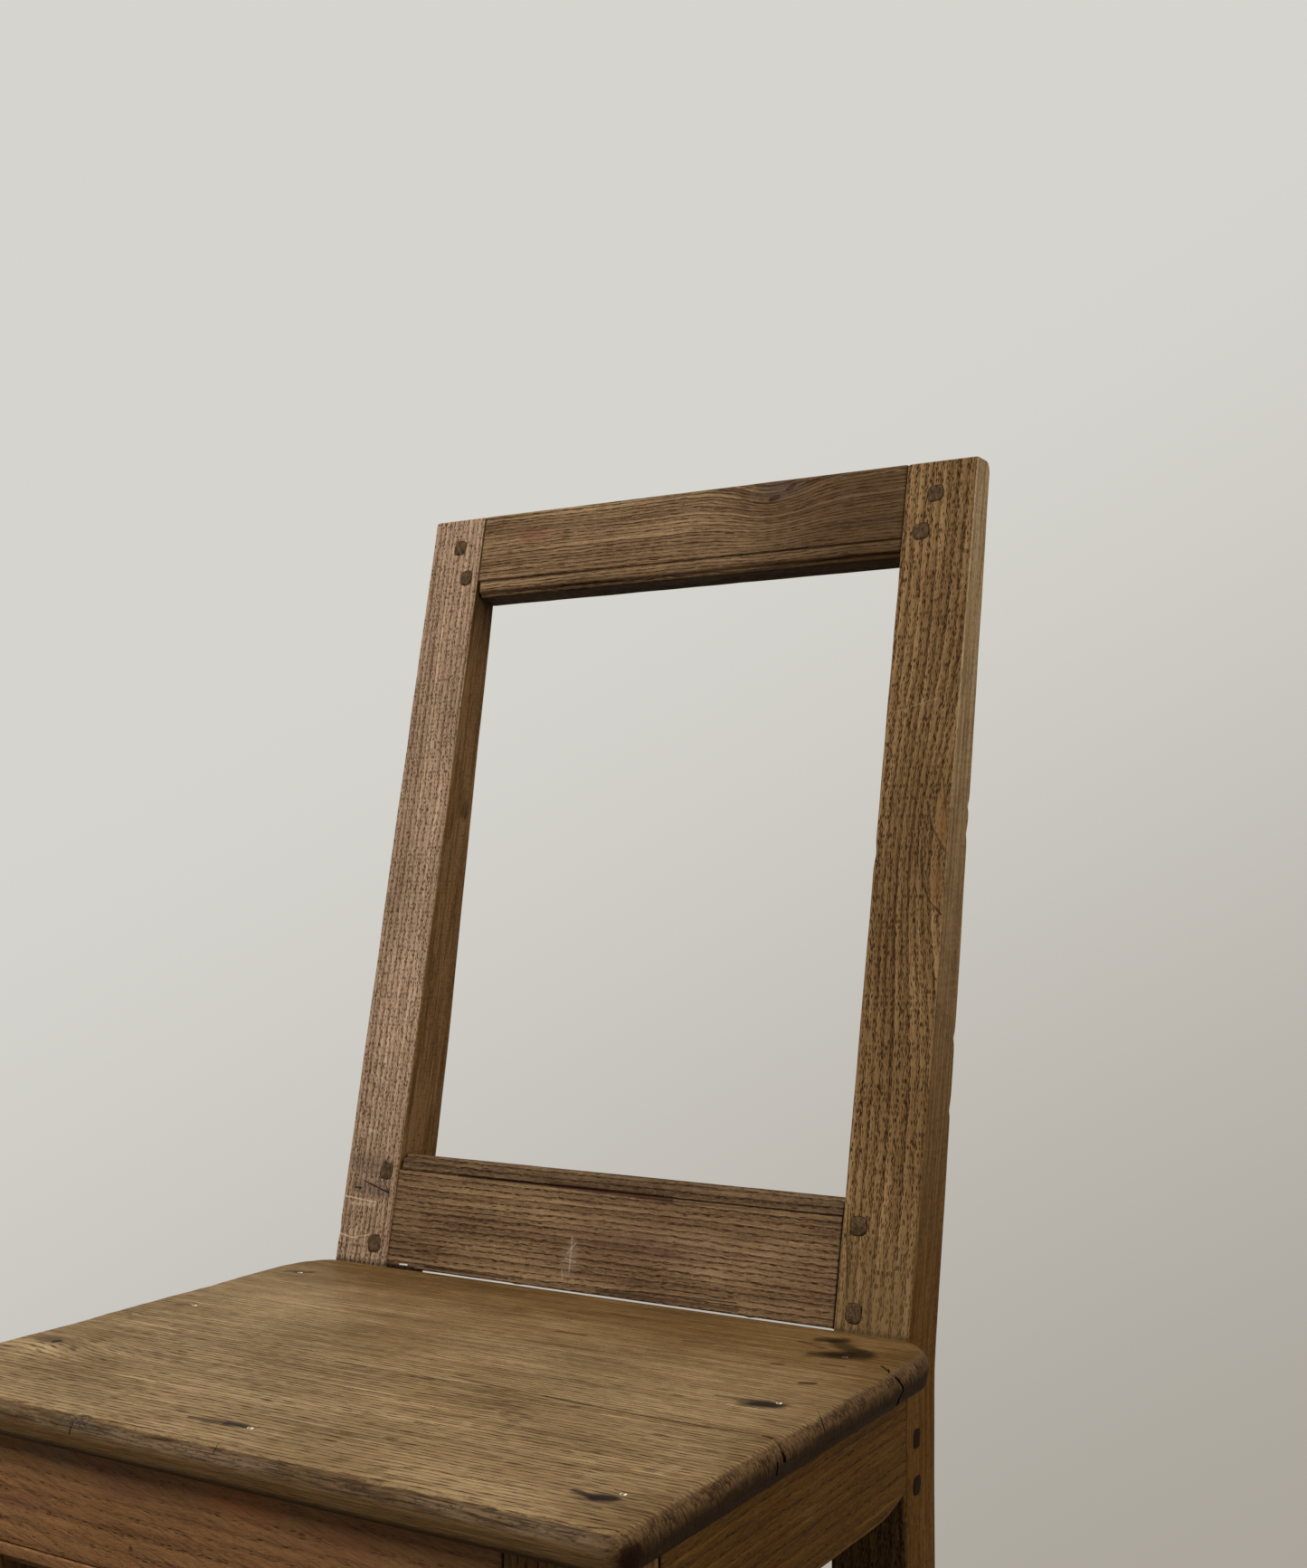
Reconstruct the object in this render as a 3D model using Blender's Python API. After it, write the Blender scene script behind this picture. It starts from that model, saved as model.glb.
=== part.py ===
"""Rustic French oak side chair with a plank seat, built the way a country joiner built it.

Two raked rear posts and two square front legs are tied together by two back rails,
four aprons and four stretchers. Every joint is a blind mortise and tenon held by
riven oak pegs, and one wide board is nailed down on the aprons.

Metres, +Z up. The chair faces -Y and stands on the floor at Z = 0. Left and right are
as seen from the front. Sizes are set out from the front face of the rear posts at the
level of the seat, and one empty then shifts the whole chair over the origin.
"""

import math

import bmesh
import bpy
from mathutils import Vector

# Overall sizes
SEAT_HEIGHT = 0.450
BACK_WIDTH = 0.400
BACK_RISE = 0.4944
RAKE = math.radians(12.3)

# Rear posts
POST_WIDTH = 0.0435
POST_DEPTH = 0.0390
POST_TOP_DEPTH = 0.0200
POST_LEG_DEPTH = 0.0385
KINK_DROP = 0.018
BEND_REACH = 0.030
POST_TOP_RADIUS = 0.008

# Front legs
FRONT_LEG_WIDTH = 0.048
FRONT_LEG_DEPTH = 0.045

# Seat board
SEAT_SIDE_OVERHANG = 0.023
SEAT_REACH = 0.322
SEAT_THICKNESS = 0.017
SEAT_FRONT_OVERHANG = 0.017
EDGE_ROUND_WIDTH = 0.0100
EDGE_ROUND_DROP = 0.009
EDGE_UNDER_WIDTH = 0.003
EDGE_UNDER_RISE = 0.004
SEAT_FRONT_CORNER = 0.014
SEAT_REAR_CORNER = 0.032

# Shake in the seat board: places along it as shares of the seat's half width and reach,
# and how far it has opened at the edge and at its tip
SPLIT_PATH_SHARES = (
    (1.030, 0.600), (0.972, 0.592), (0.925, 0.573), (0.755, 0.572),
    (0.622, 0.575), (0.490, 0.576), (0.400, 0.566),
)
SPLIT_MOUTH = 0.0011
SPLIT_TIP = 0.0002

# Back rails
TOP_RAIL_HEIGHT = 0.0576
LOWER_RAIL_HEIGHT = 0.0710
LOWER_RAIL_LIFT = 0.0012
OVOLO_RADIUS = 0.0090
OVOLO_START = math.radians(192)
QUIRK_WIDTH = 0.0012
QUIRK_DEPTH = 0.0016

# Aprons
APRON_HEIGHT = 0.069
APRON_THICKNESS = 0.024
APRON_RELIEF_LENGTH = 0.036
APRON_RELIEF_RISE = 0.0076

# Stretchers
STRETCHER_HEIGHT = 0.032
STRETCHER_THICKNESS = 0.020
SIDE_STRETCHER_LEVEL = 0.100
CROSS_STRETCHER_LEVEL = 0.150

# Joinery
CLEARANCE = 0.0003
OVERRUN = 0.004
KERF = 0.001
ARRIS_EASE = 0.0012
RAIL_TENON_LENGTH = 0.030
TOP_RAIL_TENON_THICKNESS = 0.008
LOWER_RAIL_TENON_THICKNESS = 0.012
TENON_EDGE = 0.003
TOP_RAIL_HAUNCH = 0.009
APRON_TENON_LENGTH = 0.022
APRON_TENON_THICKNESS = 0.010
APRON_TENON_SETBACK = 0.008
APRON_TENON_DROP = 0.012
STRETCHER_TENON_THICKNESS = 0.009
STRETCHER_TENON_EDGE = 0.004

# Pegs, and where each one is driven: how far past the shoulder, and how far up the piece
# as a share of its height
PEG_WIDTH = 0.0106
PEG_CHAMFER = 0.0026
PEG_CROWN = 0.0004
PEG_CROWN_INSET = 0.0016
PEG_TAPER_LENGTH = 0.004
PEG_TAPER_SHARE = 0.82
TOP_RAIL_PEG_SET_IN = (0.0190, 0.0118)
TOP_RAIL_PEG_SHARES = (0.641, 0.237)
LOWER_RAIL_PEG_SET_IN = (0.0098, 0.0115)
LOWER_RAIL_PEG_SHARES = (0.796, 0.141)
APRON_PEG_SET_IN = 0.0130
SIDE_APRON_PEG_SHARES = (0.458, 0.093)
CROSS_APRON_PEG_SHARES = (0.623, 0.261)
STRETCHER_PEG_SET_IN = 0.013
APRON_PEG_LENGTH = 0.028
STRETCHER_PEG_LENGTH = 0.034

# Nails: hand-made, with a low faceted head sunk just under the surface
NAIL_LENGTH = 0.028
NAIL_HEAD_RADIUS = 0.0034
NAIL_CROWN_RADIUS = 0.0018
NAIL_SHANK_RADIUS = 0.0015
NAIL_TIP_RADIUS = 0.0004
NAIL_HEAD_THICKNESS = 0.0012
NAIL_SINK = 0.0003
NAIL_TAPER_SHARE = 0.75
SIDE_NAILS_BACK = (0.043, 0.135)
FRONT_NAIL_FROM_SHOULDER = 0.017

# How finely curves are cut
CORNER_STEPS = 6
PROFILE_STEPS = 5
UNDER_STEPS = 3
EASE_SEGMENTS = 2
EASE_ANGLE = math.radians(50)
SMOOTH_ANGLE = math.radians(32)
NAIL_SIDES = 8

# Faces and levels that several pieces share
HALF_BACK = BACK_WIDTH / 2
HALF_SEAT = HALF_BACK + SEAT_SIDE_OVERHANG
POST_INNER = HALF_BACK - POST_WIDTH
LEG_INNER = HALF_BACK - FRONT_LEG_WIDTH
POST_FRONT = -KINK_DROP * math.tan(RAKE)
POST_REAR = POST_FRONT + POST_LEG_DEPTH
FRAME_FRONT = -SEAT_REACH + SEAT_FRONT_OVERHANG
LEG_REAR = FRAME_FRONT + FRONT_LEG_DEPTH
FRAME_TOP = SEAT_HEIGHT - SEAT_THICKNESS - CLEARANCE
APRON_BOTTOM = SEAT_HEIGHT - SEAT_THICKNESS - APRON_HEIGHT
BACK_TOP = SEAT_HEIGHT + BACK_RISE
RAKED_TOP = BACK_RISE / math.cos(RAKE)
TOP_FRONT = BACK_RISE * math.tan(RAKE)
REAR_SLOPE = (TOP_FRONT + POST_TOP_DEPTH - POST_DEPTH) / BACK_RISE
REAR_LEAN = math.atan(REAR_SLOPE)
SIDES = (("left", -1), ("right", 1))

# Colour (linear), roughness and metallic value of each kind of piece
FINISHES = {
    "post_oak": ((0.235, 0.148, 0.082), 0.62, 0.0),
    "leg_oak": ((0.200, 0.124, 0.066), 0.62, 0.0),
    "rail_oak": ((0.190, 0.116, 0.062), 0.60, 0.0),
    "seat_oak": ((0.262, 0.168, 0.080), 0.55, 0.0),
    "front_apron_oak": ((0.140, 0.078, 0.046), 0.60, 0.0),
    "side_apron_oak": ((0.150, 0.092, 0.044), 0.62, 0.0),
    "stretcher_oak": ((0.170, 0.104, 0.054), 0.64, 0.0),
    "peg_oak": ((0.096, 0.074, 0.055), 0.66, 0.0),
    "nail_iron": ((0.060, 0.052, 0.046), 0.45, 0.85),
}


def clear_scene():
    """Start from an empty scene."""
    for item in list(bpy.data.objects):
        bpy.data.objects.remove(item, do_unlink=True)


def make_finishes():
    """One Principled material for each kind of piece."""
    made = {}
    for name, (colour, roughness, metallic) in FINISHES.items():
        material = bpy.data.materials.new(name)
        material.use_nodes = True
        shader = material.node_tree.nodes["Principled BSDF"]
        shader.inputs["Base Color"].default_value = (*colour, 1)
        shader.inputs["Roughness"].default_value = roughness
        shader.inputs["Metallic"].default_value = metallic
        made[name] = material
    return made


def make_frame(name, parent, location, tilt):
    """An empty that carries pieces, tilted about X."""
    frame = bpy.data.objects.new(name, None)
    bpy.context.collection.objects.link(frame)
    frame.parent = parent
    frame.location = location
    frame.rotation_euler = (tilt, 0, 0)
    return frame


def place(name, mesh, frame, finish=None):
    """Turn a bmesh into an object under a frame; without a finish it is a cutter."""
    bmesh.ops.recalc_face_normals(mesh, faces=mesh.faces)
    data = bpy.data.meshes.new(name)
    mesh.to_mesh(data)
    mesh.free()
    item = bpy.data.objects.new(name, data)
    bpy.context.collection.objects.link(item)
    item.parent = frame
    if finish is None:
        item.hide_render = True
        item.display_type = "WIRE"
    else:
        data.materials.append(finish)
    return item


def add_prism(mesh, outline, x_from, x_to):
    """Sweep a closed outline of (y, z) points along X."""
    corners = [mesh.verts.new((x_from, y, z)) for y, z in outline]
    cap = mesh.faces.new(corners)
    swept = bmesh.ops.extrude_face_region(mesh, geom=[cap])
    moved = [part for part in swept["geom"] if isinstance(part, bmesh.types.BMVert)]
    bmesh.ops.translate(mesh, verts=moved, vec=(x_to - x_from, 0, 0))


def add_box(mesh, low, high):
    """A box between two corners."""
    outline = ((low[1], low[2]), (high[1], low[2]), (high[1], high[2]), (low[1], high[2]))
    add_prism(mesh, outline, low[0], high[0])


def cut(piece, cutter):
    """Take a cutter's shape out of a piece."""
    step = piece.modifiers.new("cut_" + cutter.name, "BOOLEAN")
    step.operation = "DIFFERENCE"
    step.solver = "EXACT"
    step.object = cutter


def ease_arrises(piece):
    """Take the sharpness off the long edges, before any joint is cut."""
    step = piece.modifiers.new("eased_arrises", "BEVEL")
    step.width = ARRIS_EASE
    step.segments = EASE_SEGMENTS
    step.limit_method = "ANGLE"
    step.angle_limit = EASE_ANGLE


def arc(centre, radius, start, end, steps):
    """Points on a circle from one angle to another, both ends included."""
    points = []
    for step in range(steps + 1):
        angle = start + (end - start) * step / steps
        points.append((centre[0] + radius * math.cos(angle), centre[1] + radius * math.sin(angle)))
    return points


def grown_box(low, high, amount):
    """Grow a box by an amount on every side."""
    grown_low = [value - amount for value in low]
    grown_high = [value + amount for value in high]
    return grown_low, grown_high


# Joints. A tenon is a box in the frame of the piece that carries it, given by its low and
# high corners. Its long axis is X or Y, and it points to the low or the high side.

def saw_tenon(piece, low, high, axis, sign, reach):
    """Saw the shoulders round a tenon, leaving the box standing."""
    other = 1 - axis
    outer_low = [low[0], low[1], low[2] - reach]
    outer_high = [high[0], high[1], high[2] + reach]
    outer_low[other] -= reach
    outer_high[other] += reach
    inner_low = list(low)
    inner_high = list(high)
    if sign > 0:
        outer_high[axis] += OVERRUN
        inner_high[axis] += OVERRUN
    else:
        outer_low[axis] -= OVERRUN
        inner_low[axis] -= OVERRUN
    mesh = bmesh.new()
    rings = []
    for end in (0, 1):
        for box_low, box_high in ((outer_low, outer_high), (inner_low, inner_high)):
            along = box_high[axis] if end else box_low[axis]
            ring = []
            for side, level in ((0, 0), (1, 0), (1, 1), (0, 1)):
                point = [0, 0, box_high[2] if level else box_low[2]]
                point[axis] = along
                point[other] = box_high[other] if side else box_low[other]
                ring.append(mesh.verts.new(point))
            rings.append(ring)
    near_outer, near_inner, far_outer, far_inner = rings
    loop = (near_outer, near_inner, far_inner, far_outer, near_outer)
    for first, second in zip(loop, loop[1:]):
        for k in range(4):
            after = (k + 1) % 4
            mesh.faces.new((first[k], first[after], second[after], second[k]))
    collar = place("collar_" + piece.name, mesh, piece.parent)
    cut(piece, collar)


def chop_mortises(piece, tenons, frame, label):
    """Cut the sockets for a list of tenons, each with the joint's clearance."""
    mesh = bmesh.new()
    for low, high, axis, sign in tenons:
        socket_low, socket_high = grown_box(low, high, CLEARANCE)
        if sign > 0:
            socket_low[axis] -= OVERRUN
        else:
            socket_high[axis] += OVERRUN
        add_box(mesh, socket_low, socket_high)
    cut(piece, place("mortises_" + label + "_" + piece.name, mesh, frame))


# Pegs. Each is a dictionary of its name, frame, entry point, direction and length.

def peg_ring(width, chamfer):
    """Section of a riven peg: a square with its corners knocked off."""
    half = width / 2
    short = half - chamfer
    return (
        (half, -short), (half, short), (short, half), (-short, half),
        (-half, short), (-half, -short), (-short, -half), (short, -half),
    )


def add_peg_shape(mesh, peg, levels):
    """Skin a row of peg sections; each level is how deep it lies and its width."""
    turn = Vector((0, 0, 1)).rotation_difference(Vector(peg["direction"]))
    entry = Vector(peg["entry"])
    rings = []
    for depth, width in levels:
        chamfer = PEG_CHAMFER * width / PEG_WIDTH
        points = [entry + turn @ Vector((x, y, depth)) for x, y in peg_ring(width, chamfer)]
        rings.append([mesh.verts.new(point) for point in points])
    mesh.faces.new(rings[0])
    for near, far in zip(rings, rings[1:]):
        for k in range(len(near)):
            after = (k + 1) % len(near)
            mesh.faces.new((near[k], near[after], far[after], far[k]))
    mesh.faces.new(rings[-1])


def make_peg(peg, finish):
    """A peg with a slightly crowned head; a blind one has a whittled end."""
    length = peg["length"]
    levels = [(-PEG_CROWN, PEG_WIDTH - 2 * PEG_CROWN_INSET), (0, PEG_WIDTH)]
    if peg["through"]:
        levels += [(length, PEG_WIDTH), (length + PEG_CROWN, PEG_WIDTH - 2 * PEG_CROWN_INSET)]
    else:
        levels += [(length - PEG_TAPER_LENGTH, PEG_WIDTH), (length, PEG_WIDTH * PEG_TAPER_SHARE)]
    mesh = bmesh.new()
    add_peg_shape(mesh, peg, levels)
    return place(peg["name"], mesh, peg["frame"], finish)


def drill(piece, pegs, label):
    """Bore a piece for a list of pegs in one frame."""
    mesh = bmesh.new()
    for peg in pegs:
        end = peg["length"] + (OVERRUN if peg["through"] else CLEARANCE)
        bore = PEG_WIDTH + 2 * CLEARANCE
        add_peg_shape(mesh, peg, ((-OVERRUN, bore), (end, bore)))
    cut(piece, place("bores_" + label + "_" + piece.name, mesh, pegs[0]["frame"]))


def make_pegs(pegs, finish):
    for peg in pegs:
        make_peg(peg, finish)


# The back: everything in it is set out in a frame that lies along the raked front face of
# the posts, with X across, Y square to the face and Z up along it.

def raked(points):
    """Turn (y, z) points into the frame of the back."""
    turned = []
    for y, z in points:
        up = z - SEAT_HEIGHT
        turned.append((y * math.cos(RAKE) - up * math.sin(RAKE), y * math.sin(RAKE) + up * math.cos(RAKE)))
    return turned


def post_rear(up):
    """How far behind the front face the rear face of the posts lies, in the raked frame."""
    low, high = raked([(POST_DEPTH, SEAT_HEIGHT), (TOP_FRONT + POST_TOP_DEPTH, BACK_TOP)])
    return low[0] + (high[0] - low[0]) * (up - low[1]) / (high[1] - low[1])


def top_corner():
    """The rounded rear corner along the top of the back, as (y, z)."""
    reach = POST_TOP_RADIUS * math.tan((math.pi / 2 + REAR_LEAN) / 2)
    centre = (TOP_FRONT + POST_TOP_DEPTH - reach, BACK_TOP - POST_TOP_RADIUS)
    return arc(centre, POST_TOP_RADIUS, -REAR_LEAN, math.pi / 2, PROFILE_STEPS)


def post_profile():
    """Side view of a rear post as (y, z): plumb below the seat, raked and tapered above it."""
    bend_level = SEAT_HEIGHT + (POST_REAR - POST_DEPTH) / REAR_SLOPE
    bend_radius = BEND_REACH / math.tan(REAR_LEAN / 2)
    centre = (POST_REAR + bend_radius, bend_level - BEND_REACH)
    foot = [(POST_FRONT, 0), (POST_REAR, 0)]
    bend = arc(centre, bend_radius, math.pi, math.pi - REAR_LEAN, PROFILE_STEPS)
    front = [(TOP_FRONT, BACK_TOP), (POST_FRONT, SEAT_HEIGHT - KINK_DROP)]
    return foot + bend + top_corner() + front


# Section of a board with a quirk and ovolo along one front arris, as (depth, level). edge is
# the level of its plain edge and away is 1 or -1, the way from there to the moulded one.

def moulded_edge(edge, away, height, depth):
    """From the quirk, round the ovolo, to the eased arris behind it."""
    reach = OVOLO_RADIUS * (1 - math.sin(OVOLO_START))
    points = [(0, height - reach - QUIRK_WIDTH), (QUIRK_DEPTH, height - reach - QUIRK_WIDTH / 2)]
    centre = (OVOLO_RADIUS, height - OVOLO_RADIUS)
    points += arc(centre, OVOLO_RADIUS, OVOLO_START, math.pi / 2, CORNER_STEPS)
    points += [(depth - ARRIS_EASE, height), (depth, height - ARRIS_EASE)]
    return [(inward, edge + away * along) for inward, along in points]


def plain_edge(edge, away, depth):
    """The other edge, square, with both arrises eased, from the rear to the front."""
    return [
        (depth, edge + away * ARRIS_EASE), (depth - ARRIS_EASE, edge),
        (ARRIS_EASE, edge), (0, edge + away * ARRIS_EASE),
    ]


def top_rail_section():
    """Moulded below; its top is level and rounded at the rear, flush with the posts."""
    low = RAKED_TOP - TOP_RAIL_HEIGHT
    front = [(ARRIS_EASE, RAKED_TOP + ARRIS_EASE * math.tan(RAKE)), (0, RAKED_TOP - ARRIS_EASE)]
    return moulded_edge(RAKED_TOP, -1, TOP_RAIL_HEIGHT, post_rear(low)) + raked(top_corner()) + front


def lower_rail_section():
    """Moulded above and square below."""
    high = LOWER_RAIL_LIFT + LOWER_RAIL_HEIGHT
    moulded = moulded_edge(LOWER_RAIL_LIFT, 1, LOWER_RAIL_HEIGHT, post_rear(high))
    return moulded + plain_edge(LOWER_RAIL_LIFT, 1, post_rear(LOWER_RAIL_LIFT))


def rail_tenon(bottom, top, thickness, sign):
    """Box of a back rail's tenon, midway in the thickness of the rail."""
    middle = post_rear((bottom + top) / 2) / 2
    shoulder = POST_INNER - CLEARANCE
    ends = sorted((sign * shoulder, sign * (shoulder + RAIL_TENON_LENGTH)))
    low = [ends[0], middle - thickness / 2, bottom]
    high = [ends[1], middle + thickness / 2, top]
    return low, high, 0, sign


def rail_pegs(label, back, set_ins, shares, bottom, height, side, sign):
    """Through pegs of a back rail, driven square to the face of the posts."""
    pegs = []
    for number, (set_in, share) in enumerate(zip(set_ins, shares), start=1):
        level = bottom + height * share
        pegs.append({
            "name": f"peg_{label}_{side}_{number}",
            "frame": back,
            "entry": (sign * (POST_INNER + set_in), 0, level),
            "direction": (0, 1, 0),
            "length": post_rear(level),
            "through": True,
        })
    return pegs


def make_rail(name, section, tenons, pegs, back, finish):
    """A moulded back rail with a tenon at each end, bored for its pegs."""
    end = POST_INNER + RAIL_TENON_LENGTH
    mesh = bmesh.new()
    add_prism(mesh, section, -end, end)
    rail = place(name, mesh, back, finish)
    for low, high, axis, sign in tenons:
        saw_tenon(rail, low, high, axis, sign, LOWER_RAIL_HEIGHT)
    drill(rail, pegs, "rail")
    return rail


def make_back(back, finishes):
    """Top rail and lower back rail. Returns their tenons and pegs by side."""
    top_low = RAKED_TOP - TOP_RAIL_HEIGHT
    lower_high = LOWER_RAIL_LIFT + LOWER_RAIL_HEIGHT
    tenons = {}
    pegs = {}
    for side, sign in SIDES:
        tenons[side] = [
            rail_tenon(
                top_low + TENON_EDGE, RAKED_TOP - TOP_RAIL_HAUNCH, TOP_RAIL_TENON_THICKNESS, sign),
            rail_tenon(
                LOWER_RAIL_LIFT + TENON_EDGE, lower_high - TENON_EDGE, LOWER_RAIL_TENON_THICKNESS, sign),
        ]
        pegs[side] = [
            rail_pegs(
                "top_rail", back, TOP_RAIL_PEG_SET_IN, TOP_RAIL_PEG_SHARES, top_low, TOP_RAIL_HEIGHT,
                side, sign),
            rail_pegs(
                "lower_rail", back, LOWER_RAIL_PEG_SET_IN, LOWER_RAIL_PEG_SHARES, LOWER_RAIL_LIFT,
                LOWER_RAIL_HEIGHT, side, sign),
        ]
    rails = (("top_rail", top_rail_section()), ("lower_back_rail", lower_rail_section()))
    for place_in_list, (name, section) in enumerate(rails):
        own_tenons = [tenons[side][place_in_list] for side, sign in SIDES]
        own_pegs = pegs["left"][place_in_list] + pegs["right"][place_in_list]
        make_rail(name, section, own_tenons, own_pegs, back, finishes["rail_oak"])
        make_pegs(own_pegs, finishes["peg_oak"])
    return tenons, pegs


# Aprons

def apron_tenon(across_from, across_to, bottom, shoulder, axis, sign):
    """Box of an apron's tenon: set back from the outer face, low enough to clear the leg's top."""
    low = [0, 0, bottom]
    high = [0, 0, FRAME_TOP - APRON_TENON_DROP]
    low[1 - axis], high[1 - axis] = sorted((across_from, across_to))
    low[axis], high[axis] = sorted((shoulder, shoulder + sign * APRON_TENON_LENGTH))
    return low, high, axis, sign


def face_peg(name, frame, entry, direction, length):
    """A blind peg driven in from an outer face."""
    return {"name": name, "frame": frame, "entry": entry, "direction": direction,
            "length": length, "through": False}


def make_cross_apron(name, chair, outer_face, inward, end, section, finishes, finish):
    """Front or rear apron, between two uprights whose inner faces stand at +-end."""
    tenon_from = outer_face + inward * APRON_TENON_SETBACK
    tenon_to = tenon_from + inward * APRON_TENON_THICKNESS
    mesh = bmesh.new()
    reach = end + APRON_TENON_LENGTH
    add_prism(mesh, section, -reach, reach)
    apron = place(name, mesh, chair, finish)
    tenons = {}
    pegs = {}
    for side, sign in SIDES:
        shoulder = sign * (end - CLEARANCE)
        tenons[side] = apron_tenon(tenon_from, tenon_to, APRON_BOTTOM + TENON_EDGE, shoulder, 0, sign)
        pegs[side] = []
        for number, share in enumerate(CROSS_APRON_PEG_SHARES, start=1):
            entry = (sign * (end + APRON_PEG_SET_IN), outer_face, APRON_BOTTOM + APRON_HEIGHT * share)
            peg_name = f"peg_{name}_{side}_{number}"
            pegs[side].append(face_peg(peg_name, chair, entry, (0, inward, 0), APRON_PEG_LENGTH))
        low, high, axis, way = tenons[side]
        saw_tenon(apron, low, high, axis, way, APRON_HEIGHT)
    own_pegs = pegs["left"] + pegs["right"]
    drill(apron, own_pegs, "apron")
    make_pegs(own_pegs, finishes["peg_oak"])
    return apron, tenons, pegs


def front_apron_section():
    """Moulded along its lower front arris, like the back rails."""
    section = moulded_edge(FRAME_TOP, -1, FRAME_TOP - APRON_BOTTOM, APRON_THICKNESS)
    section += plain_edge(FRAME_TOP, -1, APRON_THICKNESS)
    return [(FRAME_FRONT + depth, level) for depth, level in section]


def rear_apron_section():
    """A plain board with eased arrises, flush with the rear of the posts."""
    front = POST_REAR - APRON_THICKNESS
    ease = ARRIS_EASE
    return [
        (front + ease, APRON_BOTTOM), (POST_REAR - ease, APRON_BOTTOM), (POST_REAR, APRON_BOTTOM + ease),
        (POST_REAR, FRAME_TOP - ease), (POST_REAR - ease, FRAME_TOP), (front + ease, FRAME_TOP),
        (front, FRAME_TOP - ease), (front, APRON_BOTTOM + ease),
    ]


def side_apron_profile():
    """Side view of a side apron: its lower edge eases up to the shoulder at each end.

    The tenons run the full depth below that curve, so the outline drops again a kerf past
    each shoulder, where it is inside the mortise.
    """
    front = LEG_REAR + CLEARANCE
    rear = POST_FRONT - CLEARANCE
    length = APRON_RELIEF_LENGTH
    rise = APRON_RELIEF_RISE
    radius = (length * length + rise * rise) / (2 * rise)
    sweep = math.asin(length / radius)
    down = -math.pi / 2
    curve_rear = arc((rear - length, APRON_BOTTOM + radius), radius, down, down + sweep, PROFILE_STEPS)
    curve_front = arc((front + length, APRON_BOTTOM + radius), radius, down - sweep, down, PROFILE_STEPS)
    tip_front = front - APRON_TENON_LENGTH
    tip_rear = rear + APRON_TENON_LENGTH
    below = APRON_BOTTOM - OVERRUN
    front_end = [(tip_front, FRAME_TOP), (tip_front, below), (front - KERF, below)]
    front_end.append((front - KERF, curve_front[0][1]))
    rear_end = [(rear + KERF, curve_rear[-1][1]), (rear + KERF, below)]
    rear_end += [(tip_rear, below), (tip_rear, FRAME_TOP)]
    return front_end + curve_front + curve_rear + rear_end


def make_side_apron(side, sign, chair, finishes):
    """Side apron, flush with the outer faces of the front leg and the rear post."""
    outer = sign * HALF_BACK
    inner = sign * (HALF_BACK - APRON_THICKNESS)
    mesh = bmesh.new()
    add_prism(mesh, side_apron_profile(), inner, outer)
    apron = place("side_apron_" + side, mesh, chair, finishes["side_apron_oak"])
    ease_arrises(apron)
    tenon_from = sign * (HALF_BACK - APRON_TENON_SETBACK)
    tenon_to = tenon_from - sign * APRON_TENON_THICKNESS
    tenons = {
        "front": apron_tenon(tenon_from, tenon_to, APRON_BOTTOM, LEG_REAR + CLEARANCE, 1, -1),
        "rear": apron_tenon(tenon_from, tenon_to, APRON_BOTTOM, POST_FRONT - CLEARANCE, 1, 1),
    }
    pegs = {"front": [], "rear": []}
    for end, face, way in (("front", LEG_REAR, -1), ("rear", POST_FRONT, 1)):
        for number, share in enumerate(SIDE_APRON_PEG_SHARES, start=1):
            entry = (outer, face + way * APRON_PEG_SET_IN, APRON_BOTTOM + APRON_HEIGHT * share)
            name = f"peg_side_apron_{side}_{end}_{number}"
            pegs[end].append(face_peg(name, chair, entry, (-sign, 0, 0), APRON_PEG_LENGTH))
        low, high, axis, tenon_sign = tenons[end]
        saw_tenon(apron, low, high, axis, tenon_sign, APRON_HEIGHT)
    own_pegs = pegs["front"] + pegs["rear"]
    drill(apron, own_pegs, "apron")
    make_pegs(own_pegs, finishes["peg_oak"])
    return apron, tenons, pegs


# Stretchers

def stretcher_tenon(middle, level, shoulder, axis, sign):
    """Box of a stretcher's tenon, midway in its thickness."""
    half = STRETCHER_HEIGHT / 2 - STRETCHER_TENON_EDGE
    low = [0, 0, level - half]
    high = [0, 0, level + half]
    low[1 - axis] = middle - STRETCHER_TENON_THICKNESS / 2
    high[1 - axis] = middle + STRETCHER_TENON_THICKNESS / 2
    low[axis], high[axis] = sorted((shoulder, shoulder + sign * APRON_TENON_LENGTH))
    return low, high, axis, sign


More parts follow.
